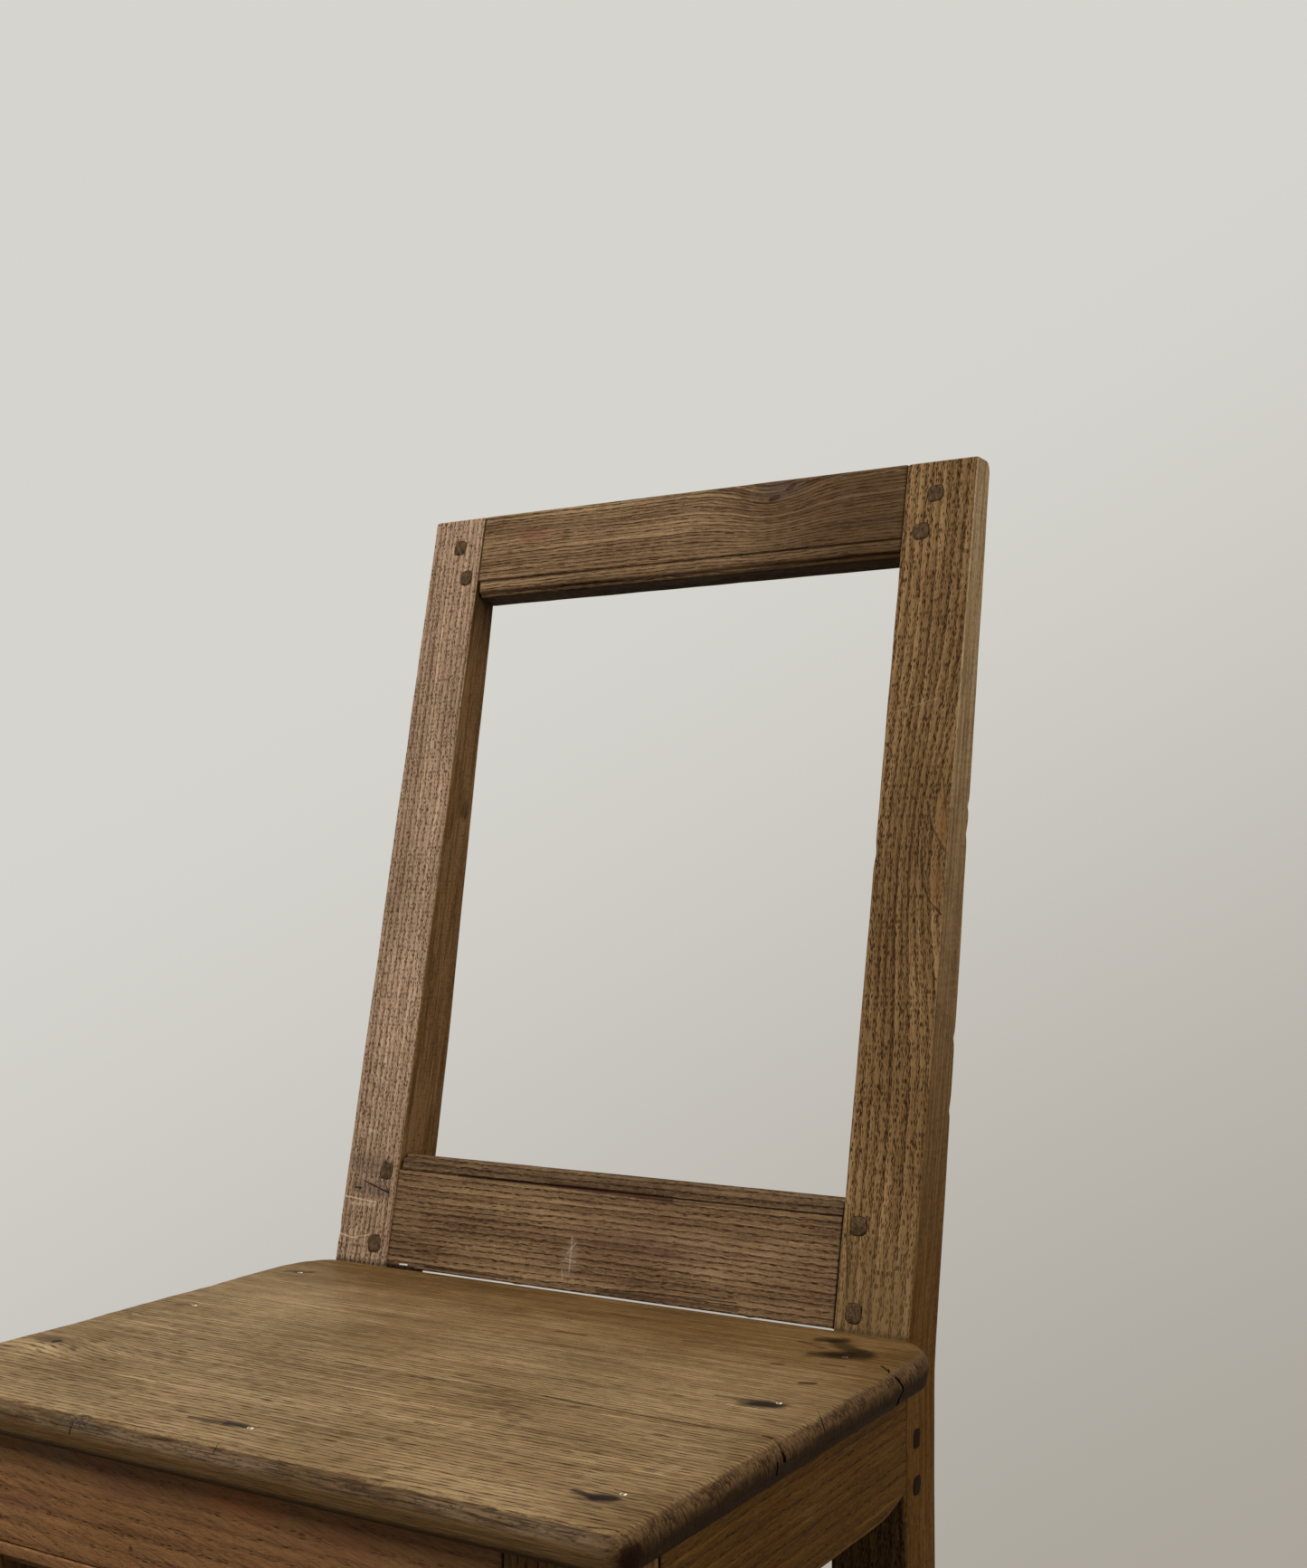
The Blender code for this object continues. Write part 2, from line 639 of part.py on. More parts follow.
def make_stretcher(name, chair, axis, middle, level, near, far, outer_face, inward, finishes):
    """A stretcher along one axis between two faces, with one blind peg in each joint."""
    half = STRETCHER_THICKNESS / 2
    low = [0, 0, level - STRETCHER_HEIGHT / 2]
    high = [0, 0, level + STRETCHER_HEIGHT / 2]
    low[1 - axis], high[1 - axis] = middle - half, middle + half
    low[axis], high[axis] = near - APRON_TENON_LENGTH, far + APRON_TENON_LENGTH
    mesh = bmesh.new()
    add_box(mesh, low, high)
    stretcher = place(name, mesh, chair, finishes["stretcher_oak"])
    ease_arrises(stretcher)
    tenons = []
    pegs = []
    for number, (face, sign) in enumerate(((near, -1), (far, 1)), start=1):
        tenon = stretcher_tenon(middle, level, face - sign * CLEARANCE, axis, sign)
        entry = [0, 0, level]
        entry[axis] = face + sign * STRETCHER_PEG_SET_IN
        entry[1 - axis] = outer_face
        direction = [0, 0, 0]
        direction[1 - axis] = inward
        tenons.append(tenon)
        pegs.append(face_peg(f"peg_{name}_{number}", chair, entry, direction, STRETCHER_PEG_LENGTH))
        saw_tenon(stretcher, tenon[0], tenon[1], tenon[2], tenon[3], STRETCHER_HEIGHT)
    drill(stretcher, pegs, "stretcher")
    make_pegs(pegs, finishes["peg_oak"])
    return tenons, pegs


# Seat board and nails

def seat_outline():
    """Plan of the seat board: each point with the way that it faces, going round once."""
    rear = -CLEARANCE
    corners = (
        (HALF_SEAT - SEAT_FRONT_CORNER, SEAT_FRONT_CORNER - SEAT_REACH, SEAT_FRONT_CORNER, -math.pi / 2),
        (HALF_SEAT - SEAT_REAR_CORNER, rear - SEAT_REAR_CORNER, SEAT_REAR_CORNER, 0),
        (SEAT_REAR_CORNER - HALF_SEAT, rear - SEAT_REAR_CORNER, SEAT_REAR_CORNER, math.pi / 2),
        (SEAT_FRONT_CORNER - HALF_SEAT, SEAT_FRONT_CORNER - SEAT_REACH, SEAT_FRONT_CORNER, math.pi),
    )
    points = []
    for x, y, radius, start in corners:
        for step in range(CORNER_STEPS + 1):
            angle = start + math.pi / 2 * step / CORNER_STEPS
            facing = (math.cos(angle), math.sin(angle))
            points.append((x + radius * facing[0], y + radius * facing[1], facing))
    return points


def seat_edge():
    """Edge of the board from its flat top down to its underside, as inset and drop."""
    steps = []
    for step in range(PROFILE_STEPS + 1):
        angle = math.pi / 2 * step / PROFILE_STEPS
        inset = EDGE_ROUND_WIDTH * (1 - math.sin(angle))
        steps.append((inset, EDGE_ROUND_DROP * (1 - math.cos(angle))))
    for step in range(UNDER_STEPS + 1):
        angle = math.pi / 2 * step / UNDER_STEPS
        inset = EDGE_UNDER_WIDTH * (1 - math.cos(angle))
        drop = SEAT_THICKNESS - EDGE_UNDER_RISE * (1 - math.sin(angle))
        steps.append((inset, drop))
    return steps


def add_seat_board(mesh):
    """Rounded along the front and the sides; at the rear it is cut to the rake of the posts."""
    rings = []
    for inset, drop in seat_edge():
        ring = []
        for x, y, facing in seat_outline():
            rearward = max(0, facing[1]) ** 2
            back_in = inset * (1 - rearward) + drop * math.tan(RAKE) * rearward
            corner = (x - facing[0] * back_in, y - facing[1] * back_in, SEAT_HEIGHT - drop)
            ring.append(mesh.verts.new(corner))
        rings.append(ring)
    mesh.faces.new(rings[0])
    mesh.faces.new(rings[-1])
    for upper, lower in zip(rings, rings[1:]):
        for k in range(len(upper)):
            after = (k + 1) % len(upper)
            mesh.faces.new((upper[k], upper[after], lower[after], lower[k]))


def split_cutter(chair):
    """The shake that has opened from the right edge along the grain."""
    path = [(along * HALF_SEAT, -back * SEAT_REACH) for along, back in SPLIT_PATH_SHARES]
    last = len(path) - 1
    one_side = []
    other_side = []
    for k, (x, y) in enumerate(path):
        opening = SPLIT_MOUTH + (SPLIT_TIP - SPLIT_MOUTH) * k / last
        one_side.append((x, y + opening / 2))
        other_side.append((x, y - opening / 2))
    outline = one_side + other_side[::-1]
    mesh = bmesh.new()
    top = [mesh.verts.new((x, y, SEAT_HEIGHT + OVERRUN)) for x, y in outline]
    cap = mesh.faces.new(top)
    swept = bmesh.ops.extrude_face_region(mesh, geom=[cap])
    moved = [part for part in swept["geom"] if isinstance(part, bmesh.types.BMVert)]
    bmesh.ops.translate(mesh, verts=moved, vec=(0, 0, -SEAT_THICKNESS - 2 * OVERRUN))
    return place("split_in_seat", mesh, chair)


def add_turned(mesh, centre, profile):
    """A turned shape on a vertical axis, from (radius, level) points, top to bottom."""
    rings = []
    for radius, level in profile:
        ring = []
        for side in range(NAIL_SIDES):
            angle = 2 * math.pi * side / NAIL_SIDES
            ring.append(mesh.verts.new((
                centre[0] + radius * math.cos(angle), centre[1] + radius * math.sin(angle), level)))
        rings.append(ring)
    mesh.faces.new(rings[0])
    for upper, lower in zip(rings, rings[1:]):
        for k in range(NAIL_SIDES):
            after = (k + 1) % NAIL_SIDES
            mesh.faces.new((upper[k], upper[after], lower[after], lower[k]))
    mesh.faces.new(rings[-1])


def nail_profile():
    """A low crowned head, a shank and a blunt point."""
    top = SEAT_HEIGHT - NAIL_SINK
    rim = top - NAIL_HEAD_THICKNESS / 2
    under = top - NAIL_HEAD_THICKNESS
    taper = top - NAIL_LENGTH * NAIL_TAPER_SHARE
    return (
        (NAIL_CROWN_RADIUS, top), (NAIL_HEAD_RADIUS, rim), (NAIL_HEAD_RADIUS, under),
        (NAIL_SHANK_RADIUS, under), (NAIL_SHANK_RADIUS, taper), (NAIL_TIP_RADIUS, top - NAIL_LENGTH),
    )


def nail_hole_profile():
    """The hole that a nail sits in, with clearance all round."""
    step = SEAT_HEIGHT - NAIL_SINK - NAIL_HEAD_THICKNESS - CLEARANCE
    head = NAIL_HEAD_RADIUS + CLEARANCE
    shank = NAIL_SHANK_RADIUS + CLEARANCE
    return (
        (head, SEAT_HEIGHT + OVERRUN), (head, step), (shank, step),
        (shank, SEAT_HEIGHT - NAIL_SINK - NAIL_LENGTH - CLEARANCE),
    )


def nail_places():
    """Where the nails go, by the piece that each is driven into."""
    places = {"front_apron": [(0, FRAME_FRONT + APRON_THICKNESS / 2 - ARRIS_EASE)]}
    for side, sign in SIDES:
        middle = sign * (HALF_BACK - APRON_THICKNESS / 2)
        places["side_apron_" + side] = [(middle, -back) for back in SIDE_NAILS_BACK]
        places["front_leg_" + side] = [(middle, LEG_REAR - FRONT_NAIL_FROM_SHOULDER)]
    return places


def nail_seat(seat, chair, supports, finishes):
    """Drive the nails through the seat into what carries it."""
    every_place = []
    for support, spots in nail_places().items():
        mesh = bmesh.new()
        for spot in spots:
            add_turned(mesh, spot, nail_hole_profile())
        cut(supports[support], place("nail_holes_" + support, mesh, chair))
        every_place += spots
    holes = bmesh.new()
    for number, spot in enumerate(every_place, start=1):
        add_turned(holes, spot, nail_hole_profile())
        mesh = bmesh.new()
        add_turned(mesh, spot, nail_profile())
        place(f"seat_nail_{number}", mesh, chair, finishes["nail_iron"])
    cut(seat, place("nail_holes_in_seat", holes, chair))


def make_seat(chair, supports, finishes):
    mesh = bmesh.new()
    add_seat_board(mesh)
    seat = place("seat_board", mesh, chair, finishes["seat_oak"])
    seat.data.shade_smooth()
    seat.data.set_sharp_from_angle(angle=SMOOTH_ANGLE)
    nail_seat(seat, chair, supports, finishes)
    cut(seat, split_cutter(chair))


# Uprights

def make_post(side, sign, chair, finishes):
    """Rear post: stile and rear leg in one piece."""
    mesh = bmesh.new()
    add_prism(mesh, post_profile(), *sorted((sign * POST_INNER, sign * HALF_BACK)))
    post = place("rear_post_" + side, mesh, chair, finishes["post_oak"])
    ease_arrises(post)
    return post


def make_front_leg(side, sign, chair, finishes):
    """Square front leg, up to the underside of the seat."""
    x_from, x_to = sorted((sign * LEG_INNER, sign * HALF_BACK))
    mesh = bmesh.new()
    add_box(mesh, (x_from, FRAME_FRONT, 0), (x_to, LEG_REAR, FRAME_TOP))
    leg = place("front_leg_" + side, mesh, chair, finishes["leg_oak"])
    ease_arrises(leg)
    return leg


def build():
    clear_scene()
    finishes = make_finishes()
    rearmost = max(y for y, z in post_profile())
    chair = make_frame("chair", None, (0, (SEAT_REACH - rearmost) / 2, 0), 0)
    back = make_frame("back", chair, (0, 0, SEAT_HEIGHT), -RAKE)

    rail_tenons, rail_joint_pegs = make_back(back, finishes)
    front_apron, front_tenons, front_pegs = make_cross_apron(
        "front_apron", chair, FRAME_FRONT, 1, LEG_INNER, front_apron_section(), finishes,
        finishes["front_apron_oak"])
    rear_apron, rear_tenons, rear_pegs = make_cross_apron(
        "rear_apron", chair, POST_REAR, -1, POST_INNER, rear_apron_section(), finishes,
        finishes["side_apron_oak"])
    cross_front = make_stretcher(
        "front_stretcher", chair, 0, (FRAME_FRONT + LEG_REAR) / 2, CROSS_STRETCHER_LEVEL,
        -LEG_INNER, LEG_INNER, FRAME_FRONT, 1, finishes)
    cross_rear = make_stretcher(
        "rear_stretcher", chair, 0, (POST_FRONT + POST_REAR) / 2, CROSS_STRETCHER_LEVEL,
        -POST_INNER, POST_INNER, POST_REAR, -1, finishes)

    supports = {"front_apron": front_apron}
    for number, (side, sign) in enumerate(SIDES):
        apron, side_tenons, side_pegs = make_side_apron(side, sign, chair, finishes)
        tenons, pegs = make_stretcher(
            "side_stretcher_" + side, chair, 1, sign * (LEG_INNER + HALF_BACK) / 2, SIDE_STRETCHER_LEVEL,
            LEG_REAR, POST_FRONT, sign * HALF_BACK, -sign, finishes)

        post = make_post(side, sign, chair, finishes)
        chop_mortises(post, rail_tenons[side], back, "rails")
        into_post = [side_tenons["rear"], rear_tenons[side], tenons[1], cross_rear[0][number]]
        chop_mortises(post, into_post, chair, "frame")
        drill(post, rail_joint_pegs[side][0] + rail_joint_pegs[side][1], "rails")
        drill(post, side_pegs["rear"] + [pegs[1]], "sides")
        drill(post, rear_pegs[side] + [cross_rear[1][number]], "cross")

        leg = make_front_leg(side, sign, chair, finishes)
        into_leg = [side_tenons["front"], front_tenons[side], tenons[0], cross_front[0][number]]
        chop_mortises(leg, into_leg, chair, "frame")
        drill(leg, side_pegs["front"] + [pegs[0]], "sides")
        drill(leg, front_pegs[side] + [cross_front[1][number]], "cross")
        supports["side_apron_" + side] = apron
        supports["front_leg_" + side] = leg

    make_seat(chair, supports, finishes)


build()
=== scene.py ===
"""Looks of a rustic oak side chair: worn boards, pegged joints, open oak grain and old nails.

Metres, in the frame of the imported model: +Z up, the chair faces -Y. Each board is lofted
along its grain with worn arrises, and carries its own grain coordinates, so one oak shader
with different settings finishes them all. The tables of marks and settings are in mm, with
colours as 8-bit display values.
"""

import math
import random
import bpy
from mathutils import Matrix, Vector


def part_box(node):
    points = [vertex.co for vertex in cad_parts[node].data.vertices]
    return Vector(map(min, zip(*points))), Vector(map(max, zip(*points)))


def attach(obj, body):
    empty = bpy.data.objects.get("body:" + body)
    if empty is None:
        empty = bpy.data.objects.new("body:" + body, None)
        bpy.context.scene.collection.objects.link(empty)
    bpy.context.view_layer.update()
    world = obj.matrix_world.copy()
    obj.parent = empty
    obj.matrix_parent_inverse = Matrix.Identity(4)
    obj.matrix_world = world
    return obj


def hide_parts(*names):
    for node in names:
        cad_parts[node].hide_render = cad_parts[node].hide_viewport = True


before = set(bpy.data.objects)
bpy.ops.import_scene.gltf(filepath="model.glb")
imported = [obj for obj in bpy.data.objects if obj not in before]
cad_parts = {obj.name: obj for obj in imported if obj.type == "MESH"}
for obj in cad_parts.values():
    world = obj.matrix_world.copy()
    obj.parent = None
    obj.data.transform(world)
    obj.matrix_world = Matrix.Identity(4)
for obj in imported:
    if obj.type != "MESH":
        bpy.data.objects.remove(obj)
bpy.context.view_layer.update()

from types import SimpleNamespace

import bpy
from mathutils import Matrix, Vector, noise

MM = 0.001

# Levels and faces taken from the frame
SEAT_LOW, SEAT_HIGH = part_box("seat_board")
POST_LOW, POST_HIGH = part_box("rear_post_right")
LEG_LOW, LEG_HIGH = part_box("front_leg_right")
APRON_LOW, APRON_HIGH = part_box("front_apron")
SEAT_TOP = SEAT_HIGH.z
BACK_TOP = POST_HIGH.z
HALF_BACK = POST_HIGH.x
GAP = 0.3 * MM
FACE = SEAT_HIGH.y + GAP
FRAME_TOP = LEG_HIGH.z

# The back: rake, and the posts' and rails' own sizes
RAKE = math.radians(12.3)
COS, SIN, TAN = math.cos(RAKE), math.sin(RAKE), math.tan(RAKE)
KINK = SEAT_TOP - 18 * MM
POST_DEPTH = 39 * MM
POST_TOP_DEPTH = 19.65 * MM
POST_TOP_ROUND = 8 * MM
POST_REAR_Y = POST_LOW.y + 38.5 * MM
BEND = 5 * MM
LEFT_INNER = -157.7 * MM
RIGHT_INNER = 155.0 * MM
BACK_SPAN = (LEFT_INNER + GAP, RIGHT_INNER - GAP)
TOP_RAIL_HEIGHT = 57.6 * MM
LOWER_RAIL_HEIGHT = 71 * MM
LOWER_RAIL_LIFT = 0.55 * MM
MOULDING = 10.6 * MM
RAKED_TOP = (BACK_TOP - SEAT_TOP) / COS

# The seat board
BOARD_LEFT = SEAT_LOW.x
BOARD_RIGHT = SEAT_HIGH.x - 2 * MM
BOARD_FRONT = SEAT_LOW.y
BOARD_REAR = SEAT_HIGH.y
FRONT_CORNER = 11 * MM
REAR_CORNER = 30 * MM
ROUND_WIDTH = 9.5 * MM
ROUND_DROP = 9 * MM

SIDES = (("left", -1), ("right", 1))


def tone(red, green, blue):
    """An 8-bit display colour as the linear colour that a shader takes."""
    linear = []
    for value in (red, green, blue):
        share = value / 255
        linear.append(share / 12.92 if share <= 0.04045 else ((share + 0.055) / 1.055) ** 2.4)
    return (*linear, 1)


# Shaders

class Field:
    """A value in a shader's node tree, which adds and multiplies like a number."""

    def __init__(self, shader, socket):
        self.shader = shader
        self.socket = socket


def field_sum(operation, swapped):
    def work(self, other):
        pair = (other, self) if swapped else (self, other)
        return self.shader.math(operation, *pair)
    return work


for word, operation in (("add", "ADD"), ("sub", "SUBTRACT"), ("mul", "MULTIPLY"), ("truediv", "DIVIDE")):
    setattr(Field, f"__{word}__", field_sum(operation, False))
    setattr(Field, f"__r{word}__", field_sum(operation, True))


class Shader:
    """A Principled material whose nodes are written as sums, and whose colour is laid on in coats."""

    def __init__(self, name):
        self.material = bpy.data.materials.new(name)
        self.material.use_nodes = True
        self.tree = self.material.node_tree
        self.surface = self.tree.nodes["Principled BSDF"]
        self.colour = None

    def feed(self, value, socket):
        """Link a field to a socket, or set it to a number, a linear colour or an 8-bit one."""
        if isinstance(value, Field):
            self.tree.links.new(value.socket, socket)
        else:
            socket.default_value = tone(*value) if isinstance(value, tuple) and len(value) == 3 else value

    def node(self, kind, inputs, output=0, **settings):
        made = self.tree.nodes.new(kind)
        for key, value in settings.items():
            setattr(made, key, value)
        for key, value in inputs.items():
            self.feed(value, made.inputs[key])
        return Field(self, made.outputs[output])

    def math(self, operation, *values):
        return self.node("ShaderNodeMath", dict(enumerate(values)), operation=operation)

    def size_of(self, value):
        return self.math("ABSOLUTE", value)

    def clamp(self, value):
        return self.math("MINIMUM", self.math("MAXIMUM", value, 0.0), 1.0)

    def length(self, *values):
        total = values[0] * values[0]
        for value in values[1:]:
            total = total + value * value
        return self.math("SQRT", total)

    def fade(self, value, start, end):
        """0 at start and 1 at end, with smooth ends; start may be above end."""
        inputs = {"Value": value, "From Min": start, "From Max": end}
        return self.node("ShaderNodeMapRange", inputs, interpolation_type="SMOOTHSTEP")

    def point(self, x, y, z):
        return self.node("ShaderNodeCombineXYZ", {0: x, 1: y, 2: z})

    def split(self, vector):
        made = self.node("ShaderNodeSeparateXYZ", {0: vector}).socket.node
        return tuple(Field(self, socket) for socket in made.outputs)

    def carried(self, name, output=2):
        """An attribute that the mesh carries; output 1 is its vector and 2 its value."""
        return self.node("ShaderNodeAttribute", {}, output, attribute_name=name)

    def clouds(self, where, detail=2.0, rough=0.5):
        """Noise from 0 to 1, one cell across a unit."""
        inputs = {"Vector": where, "Scale": 1.0, "Detail": detail, "Roughness": rough}
        return self.node("ShaderNodeTexNoise", inputs)

    def cells(self, where):
        """Distance to the nearest cell's centre, and a random number of that cell."""
        distance = self.node("ShaderNodeTexVoronoi", {"Vector": where, "Scale": 1.0})
        return distance, self.split(Field(self, distance.socket.node.outputs["Color"]))[0]

    def mix(self, share, low, high, blend="MIX"):
        inputs = {0: share, 6: low, 7: high}
        return self.node("ShaderNodeMix", inputs, 2, data_type="RGBA", blend_type=blend)

    def darken(self, share, colour, *shade):
        """Multiply a colour by a shade, by a share."""
        return self.mix(share, colour, (*shade, 1), "MULTIPLY")

    def tint(self, share, paint, blend="MIX"):
        """Lay a paint over the coats so far, by a share."""
        self.colour = self.mix(share, self.colour, paint, blend)

    def shade(self, share, *shade):
        self.colour = self.darken(share, self.colour, *shade)

    def background_seen(self):
        """1 for the rays that show the background: the camera's, and those off metal or through glass."""
        rays = self.tree.nodes.new("ShaderNodeLightPath")
        seen = 0.0
        for name in ("Is Camera Ray", "Is Glossy Ray", "Is Transmission Ray"):
            seen = self.math("MAXIMUM", Field(self, rays.outputs[name]), seen)
        return seen

    def finish(self, roughness, height):
        self.feed(self.colour, self.surface.inputs["Base Color"])
        self.feed(roughness, self.surface.inputs["Roughness"])
        bump = self.node("ShaderNodeBump", {"Height": height, "Distance": 1.0, "Strength": 1.0})
        self.feed(bump, self.surface.inputs["Normal"])
        self.surface.inputs["Specular IOR Level"].default_value = 0.03
        return self.material


class Wood(Shader):
    """A shader in a board's grain coordinates, and the marks drawn there."""

    def __init__(self, name):
        super().__init__(name)
        self.along, self.across, self.through = self.split(self.carried("grain", 1))
        self.height = self.shine = None
        self.noises = {}

    def scaled(self, x, y, z):
        return self.point(self.along * x, self.across * y, self.through * z)

    def cloudy(self, x, y, z, detail=2.0, rough=0.5):
        """Noise with so many cells in a metre along, across and through the grain."""
        return self.clouds(self.scaled(x, y, z), detail, rough)

    def rough(self, grit):
        """Noise for ragged edges, with cells about 1 / grit metres wide."""
        if grit not in self.noises:
            self.noises[grit] = self.cloudy(grit * 0.4, grit, grit, 3.0, 0.65) - 0.5
        return self.noises[grit]

    def blot(self, centre, reach, soft, ragged, grit):
        """A ragged patch: 1 inside, 0 outside. centre is along, across, through, and reach in mm."""
        places = zip((self.along, self.across, self.through), centre, reach)
        spread = self.length(*[(value - middle) / (size * MM) for value, middle, size in places])
        return self.fade(spread + self.rough(grit) * ragged, 1.0, 1.0 - soft)

    def stroke(self, start, end, reach):
        """A streak between two (along, across) places on the face that is 0 deep."""
        step = (end[0] - start[0], end[1] - start[1])
        square = step[0] * step[0] + step[1] * step[1]
        near, side = self.along - start[0], self.across - start[1]
        share = self.clamp((near * step[0] + side * step[1]) / square)
        away = self.length(near - share * step[0], side - share * step[1]) / (reach * MM)
        streak = self.fade(away + self.rough(300.0) * 0.75, 1.0, 0.25)
        return streak * self.fade(self.size_of(self.through), 3 * MM, 1.8 * MM)


# Places in grain coordinates, from mm: x, and height above the seat's top or depth in y

def raised(height):
    """Grain coordinate along a post of a place that many mm above the seat."""
    return KINK + (SEAT_TOP + height * MM - KINK) / COS


def on_post(x, height):
    return raised(height), x * MM


def on_rail(x, height):
    return x * MM, height * MM / COS


def plain(x, y):
    return x * MM, y * MM


# Settings that a board has unless its look says otherwise: how far the grain wanders, ripples
# and zigzags, the width of a row of pores, a pore's length and width, how many lie in the rows
# and between them, and the strength of the rest
OAK = {
    "wander": 3, "ripple": 0.8, "zigzag": 70.0, "taper": (0.0, 0.0), "row": 0.24, "pore": (4.5, 0.8),
    "crowd": 0.85, "stray": 0.12, "line": 0.35, "contrast": 1.0, "nap": 0.7, "nap_run": 230.0,
    "relief": 1.0, "rub": 0.45, "rays": 0.0, "dull": 0.0, "fading": None, "place": plain,
    "swirls": (), "strokes": (), "blots": (), "marks": None,
}


def oak(name, settings):
    """Old oak, with a board's own tones, rings, pores and marks."""
    look = SimpleNamespace(**{**OAK, **settings})
    wood = Wood(name)
    along, across, through = wood.along, wood.across, wood.through
    point, clouds, fade, tint = wood.point, wood.clouds, wood.fade, wood.tint
    seed, contrast, relief = look.seed, look.contrast, look.relief

    # The grain wanders, zigzags, and flows round knots
    wander = look.wander * MM
    drift = clouds(point(along * 5 + seed, across * 16, through * 16)) - 0.5
    zigzag = clouds(point(along * look.zigzag + seed, across * 120, through * 120), 1.0) - 0.5
    side = across + drift * (2 * wander) + zigzag * (2 * (look.ripple * MM))
    for x, y, long, wide, push in look.swirls:
        middle, level = look.place(x, y)
        reach, far = (across - level) / (wide * MM), (along - middle) / (long * MM)
        side = side - wood.math("EXPONENT", (far * far + reach * reach) * -0.5) * (push * MM)
    deep = through + drift * wander

    # Growth rings about the heart of the tree
    hearts = (side, deep)
    hearts = [hearts[k] - (look.heart[k] * MM + along * look.taper[k]) for k in (0, 1)]
    turn = wood.length(*hearts) / (look.ring * MM)
    turn = turn + (clouds(point(turn * 0.4, along * 3 + seed, 0.0)) - 0.5) * 1.3
    season = wood.node("ShaderNodeTexWhiteNoise", {"W": wood.math("FLOOR", turn)}, noise_dimensions="1D")
    phase = wood.math("FRACT", turn)
    early = fade(wood.size_of(phase - 0.14), look.row, 0.07)

    # Streaks, fibres and pores, all drawn out along the grain
    band = clouds(point(along * 9 + seed, side * 190, deep * 190), 3.0, 0.6)
    fibre = clouds(point(along * 60, side * 1300, deep * 1300), 2.0, 0.6)
    broad = clouds(point(along * 9 + seed, across * 22, through * 22), 3.0, 0.55)
    length, width = (size * MM for size in look.pore)
    spot, chance = wood.cells(point(along / length, side / width, deep / width))
    crowd = early * look.crowd + look.stray
    pore = fade(spot, 0.54, 0.30) * fade(chance, crowd, crowd - 0.12)
    speck, odds = wood.cells(point(along / (2.6 * MM), side / (0.42 * MM), deep / (0.42 * MM)))
    fine = fade(speck, 0.5, 0.15) * fade(odds, 0.45, 0.35)
    line = early * fade(clouds(point(along * 150, turn * 3.7, seed), 1.0), 0.36, 0.56)
    strength = 1.0
    if look.fading:
        strength = fade(across, *plain(*look.fading)) * 0.6 + 0.4
    pore, line = pore * strength, line * strength
    nap = clouds(point(along * look.nap_run, side * 2000, deep * 2000), 2.0, 0.75)

    # Colour, from the slow changes to the fine ones
    level = 0.5 + (band - 0.5) * (1.1 * contrast) + (broad - 0.5) * (0.9 * contrast)
    level = level + (season - 0.5) * (0.25 * contrast) + (phase - 0.45) * (0.35 * contrast)
    wood.colour = wood.mix(fade(level, -0.2, 0.6), look.dark, look.body)
    tint(fade(level, 0.5, 1.15), look.pale)
    wood.shade(fade(fibre, 0.62, 0.3) * (0.45 * contrast), 0.70, 0.64, 0.57)
    wood.shade(fade(nap, 0.52, 0.34) * look.nap, 0.72, 0.67, 0.60)
    tint(fade(nap, 0.54, 0.70) * (look.nap * 0.5), look.pale)
    tint(line * look.line, look.pores)
    tint(fine * 0.45, look.pores)
    if look.rays:
        run, beside = side * 0.5 - along * 0.87, along * 0.5 + side * 0.87
        plates = clouds(point(run * 90, beside * 700, deep * 200), 1.0)
        where = fade(wood.cloudy(9, 25, 25, 1.0), 0.40, 0.58) * fade(along, raised(350), raised(170))
        tint(fade(plates, 0.58, 0.68) * where * look.rays, look.pale)
    tint(pore * 0.95, look.pores)

    # Worn arrises, and dirt with painted shade in the corners, recesses and undersides
    torn = wood.rough(420.0)
    rubbed = fade(wood.carried("edge") + torn * 0.8, 0.4, 0.95) * look.rub
    tint(rubbed, look.pale)
    # This darkening is partly dirt and partly painted shade in corners, recesses and undersides
    dirt_and_shade = fade(wood.carried("grime_and_shade") + torn * 0.5, 0.15, 0.95)
    tint(dirt_and_shade * 0.9, (26, 17, 11))

    height = (fibre - 0.5) * (0.05 * MM) + (nap - 0.5) * (0.10 * MM * relief)
    height = height - pore * (0.16 * MM * relief) - fine * (0.04 * MM)
    height = height - early * (0.16 * MM * relief)
    height = height + (broad - 0.5) * (0.6 * MM) + (band - 0.5) * (0.18 * MM)
    wood.shine = 0.58 + (band - 0.5) * 0.2 + pore * 0.15 - rubbed * 0.08 + dirt_and_shade * 0.1 + look.dull

    place, rows = look.strokes or (plain, ())
    for x, y, far_x, far_y, reach, share, paint, dent in rows:
        mark = wood.stroke(place(x, y), place(far_x, far_y), reach)
        tint(mark * share, paint)
        height = height - mark * (dent * MM)
    for x, y, reach, ragged, share, paint in look.blots:
        tint(wood.blot((*look.place(x, y), 0), reach, 0.8, ragged, 220.0) * share, paint)
    wood.height = height
    if look.marks:
        look.marks(wood)
    return wood.finish(wood.shine, wood.height)


# Marks that one board has and another does not. A stroke is given as x, y, x, y, its reach,
# its share, its colour and how deep it is.

BLACK = (30, 23, 19)
DUSK = (50, 37, 26)
BONE = (196, 174, 144)
SLATE = (66, 58, 54)

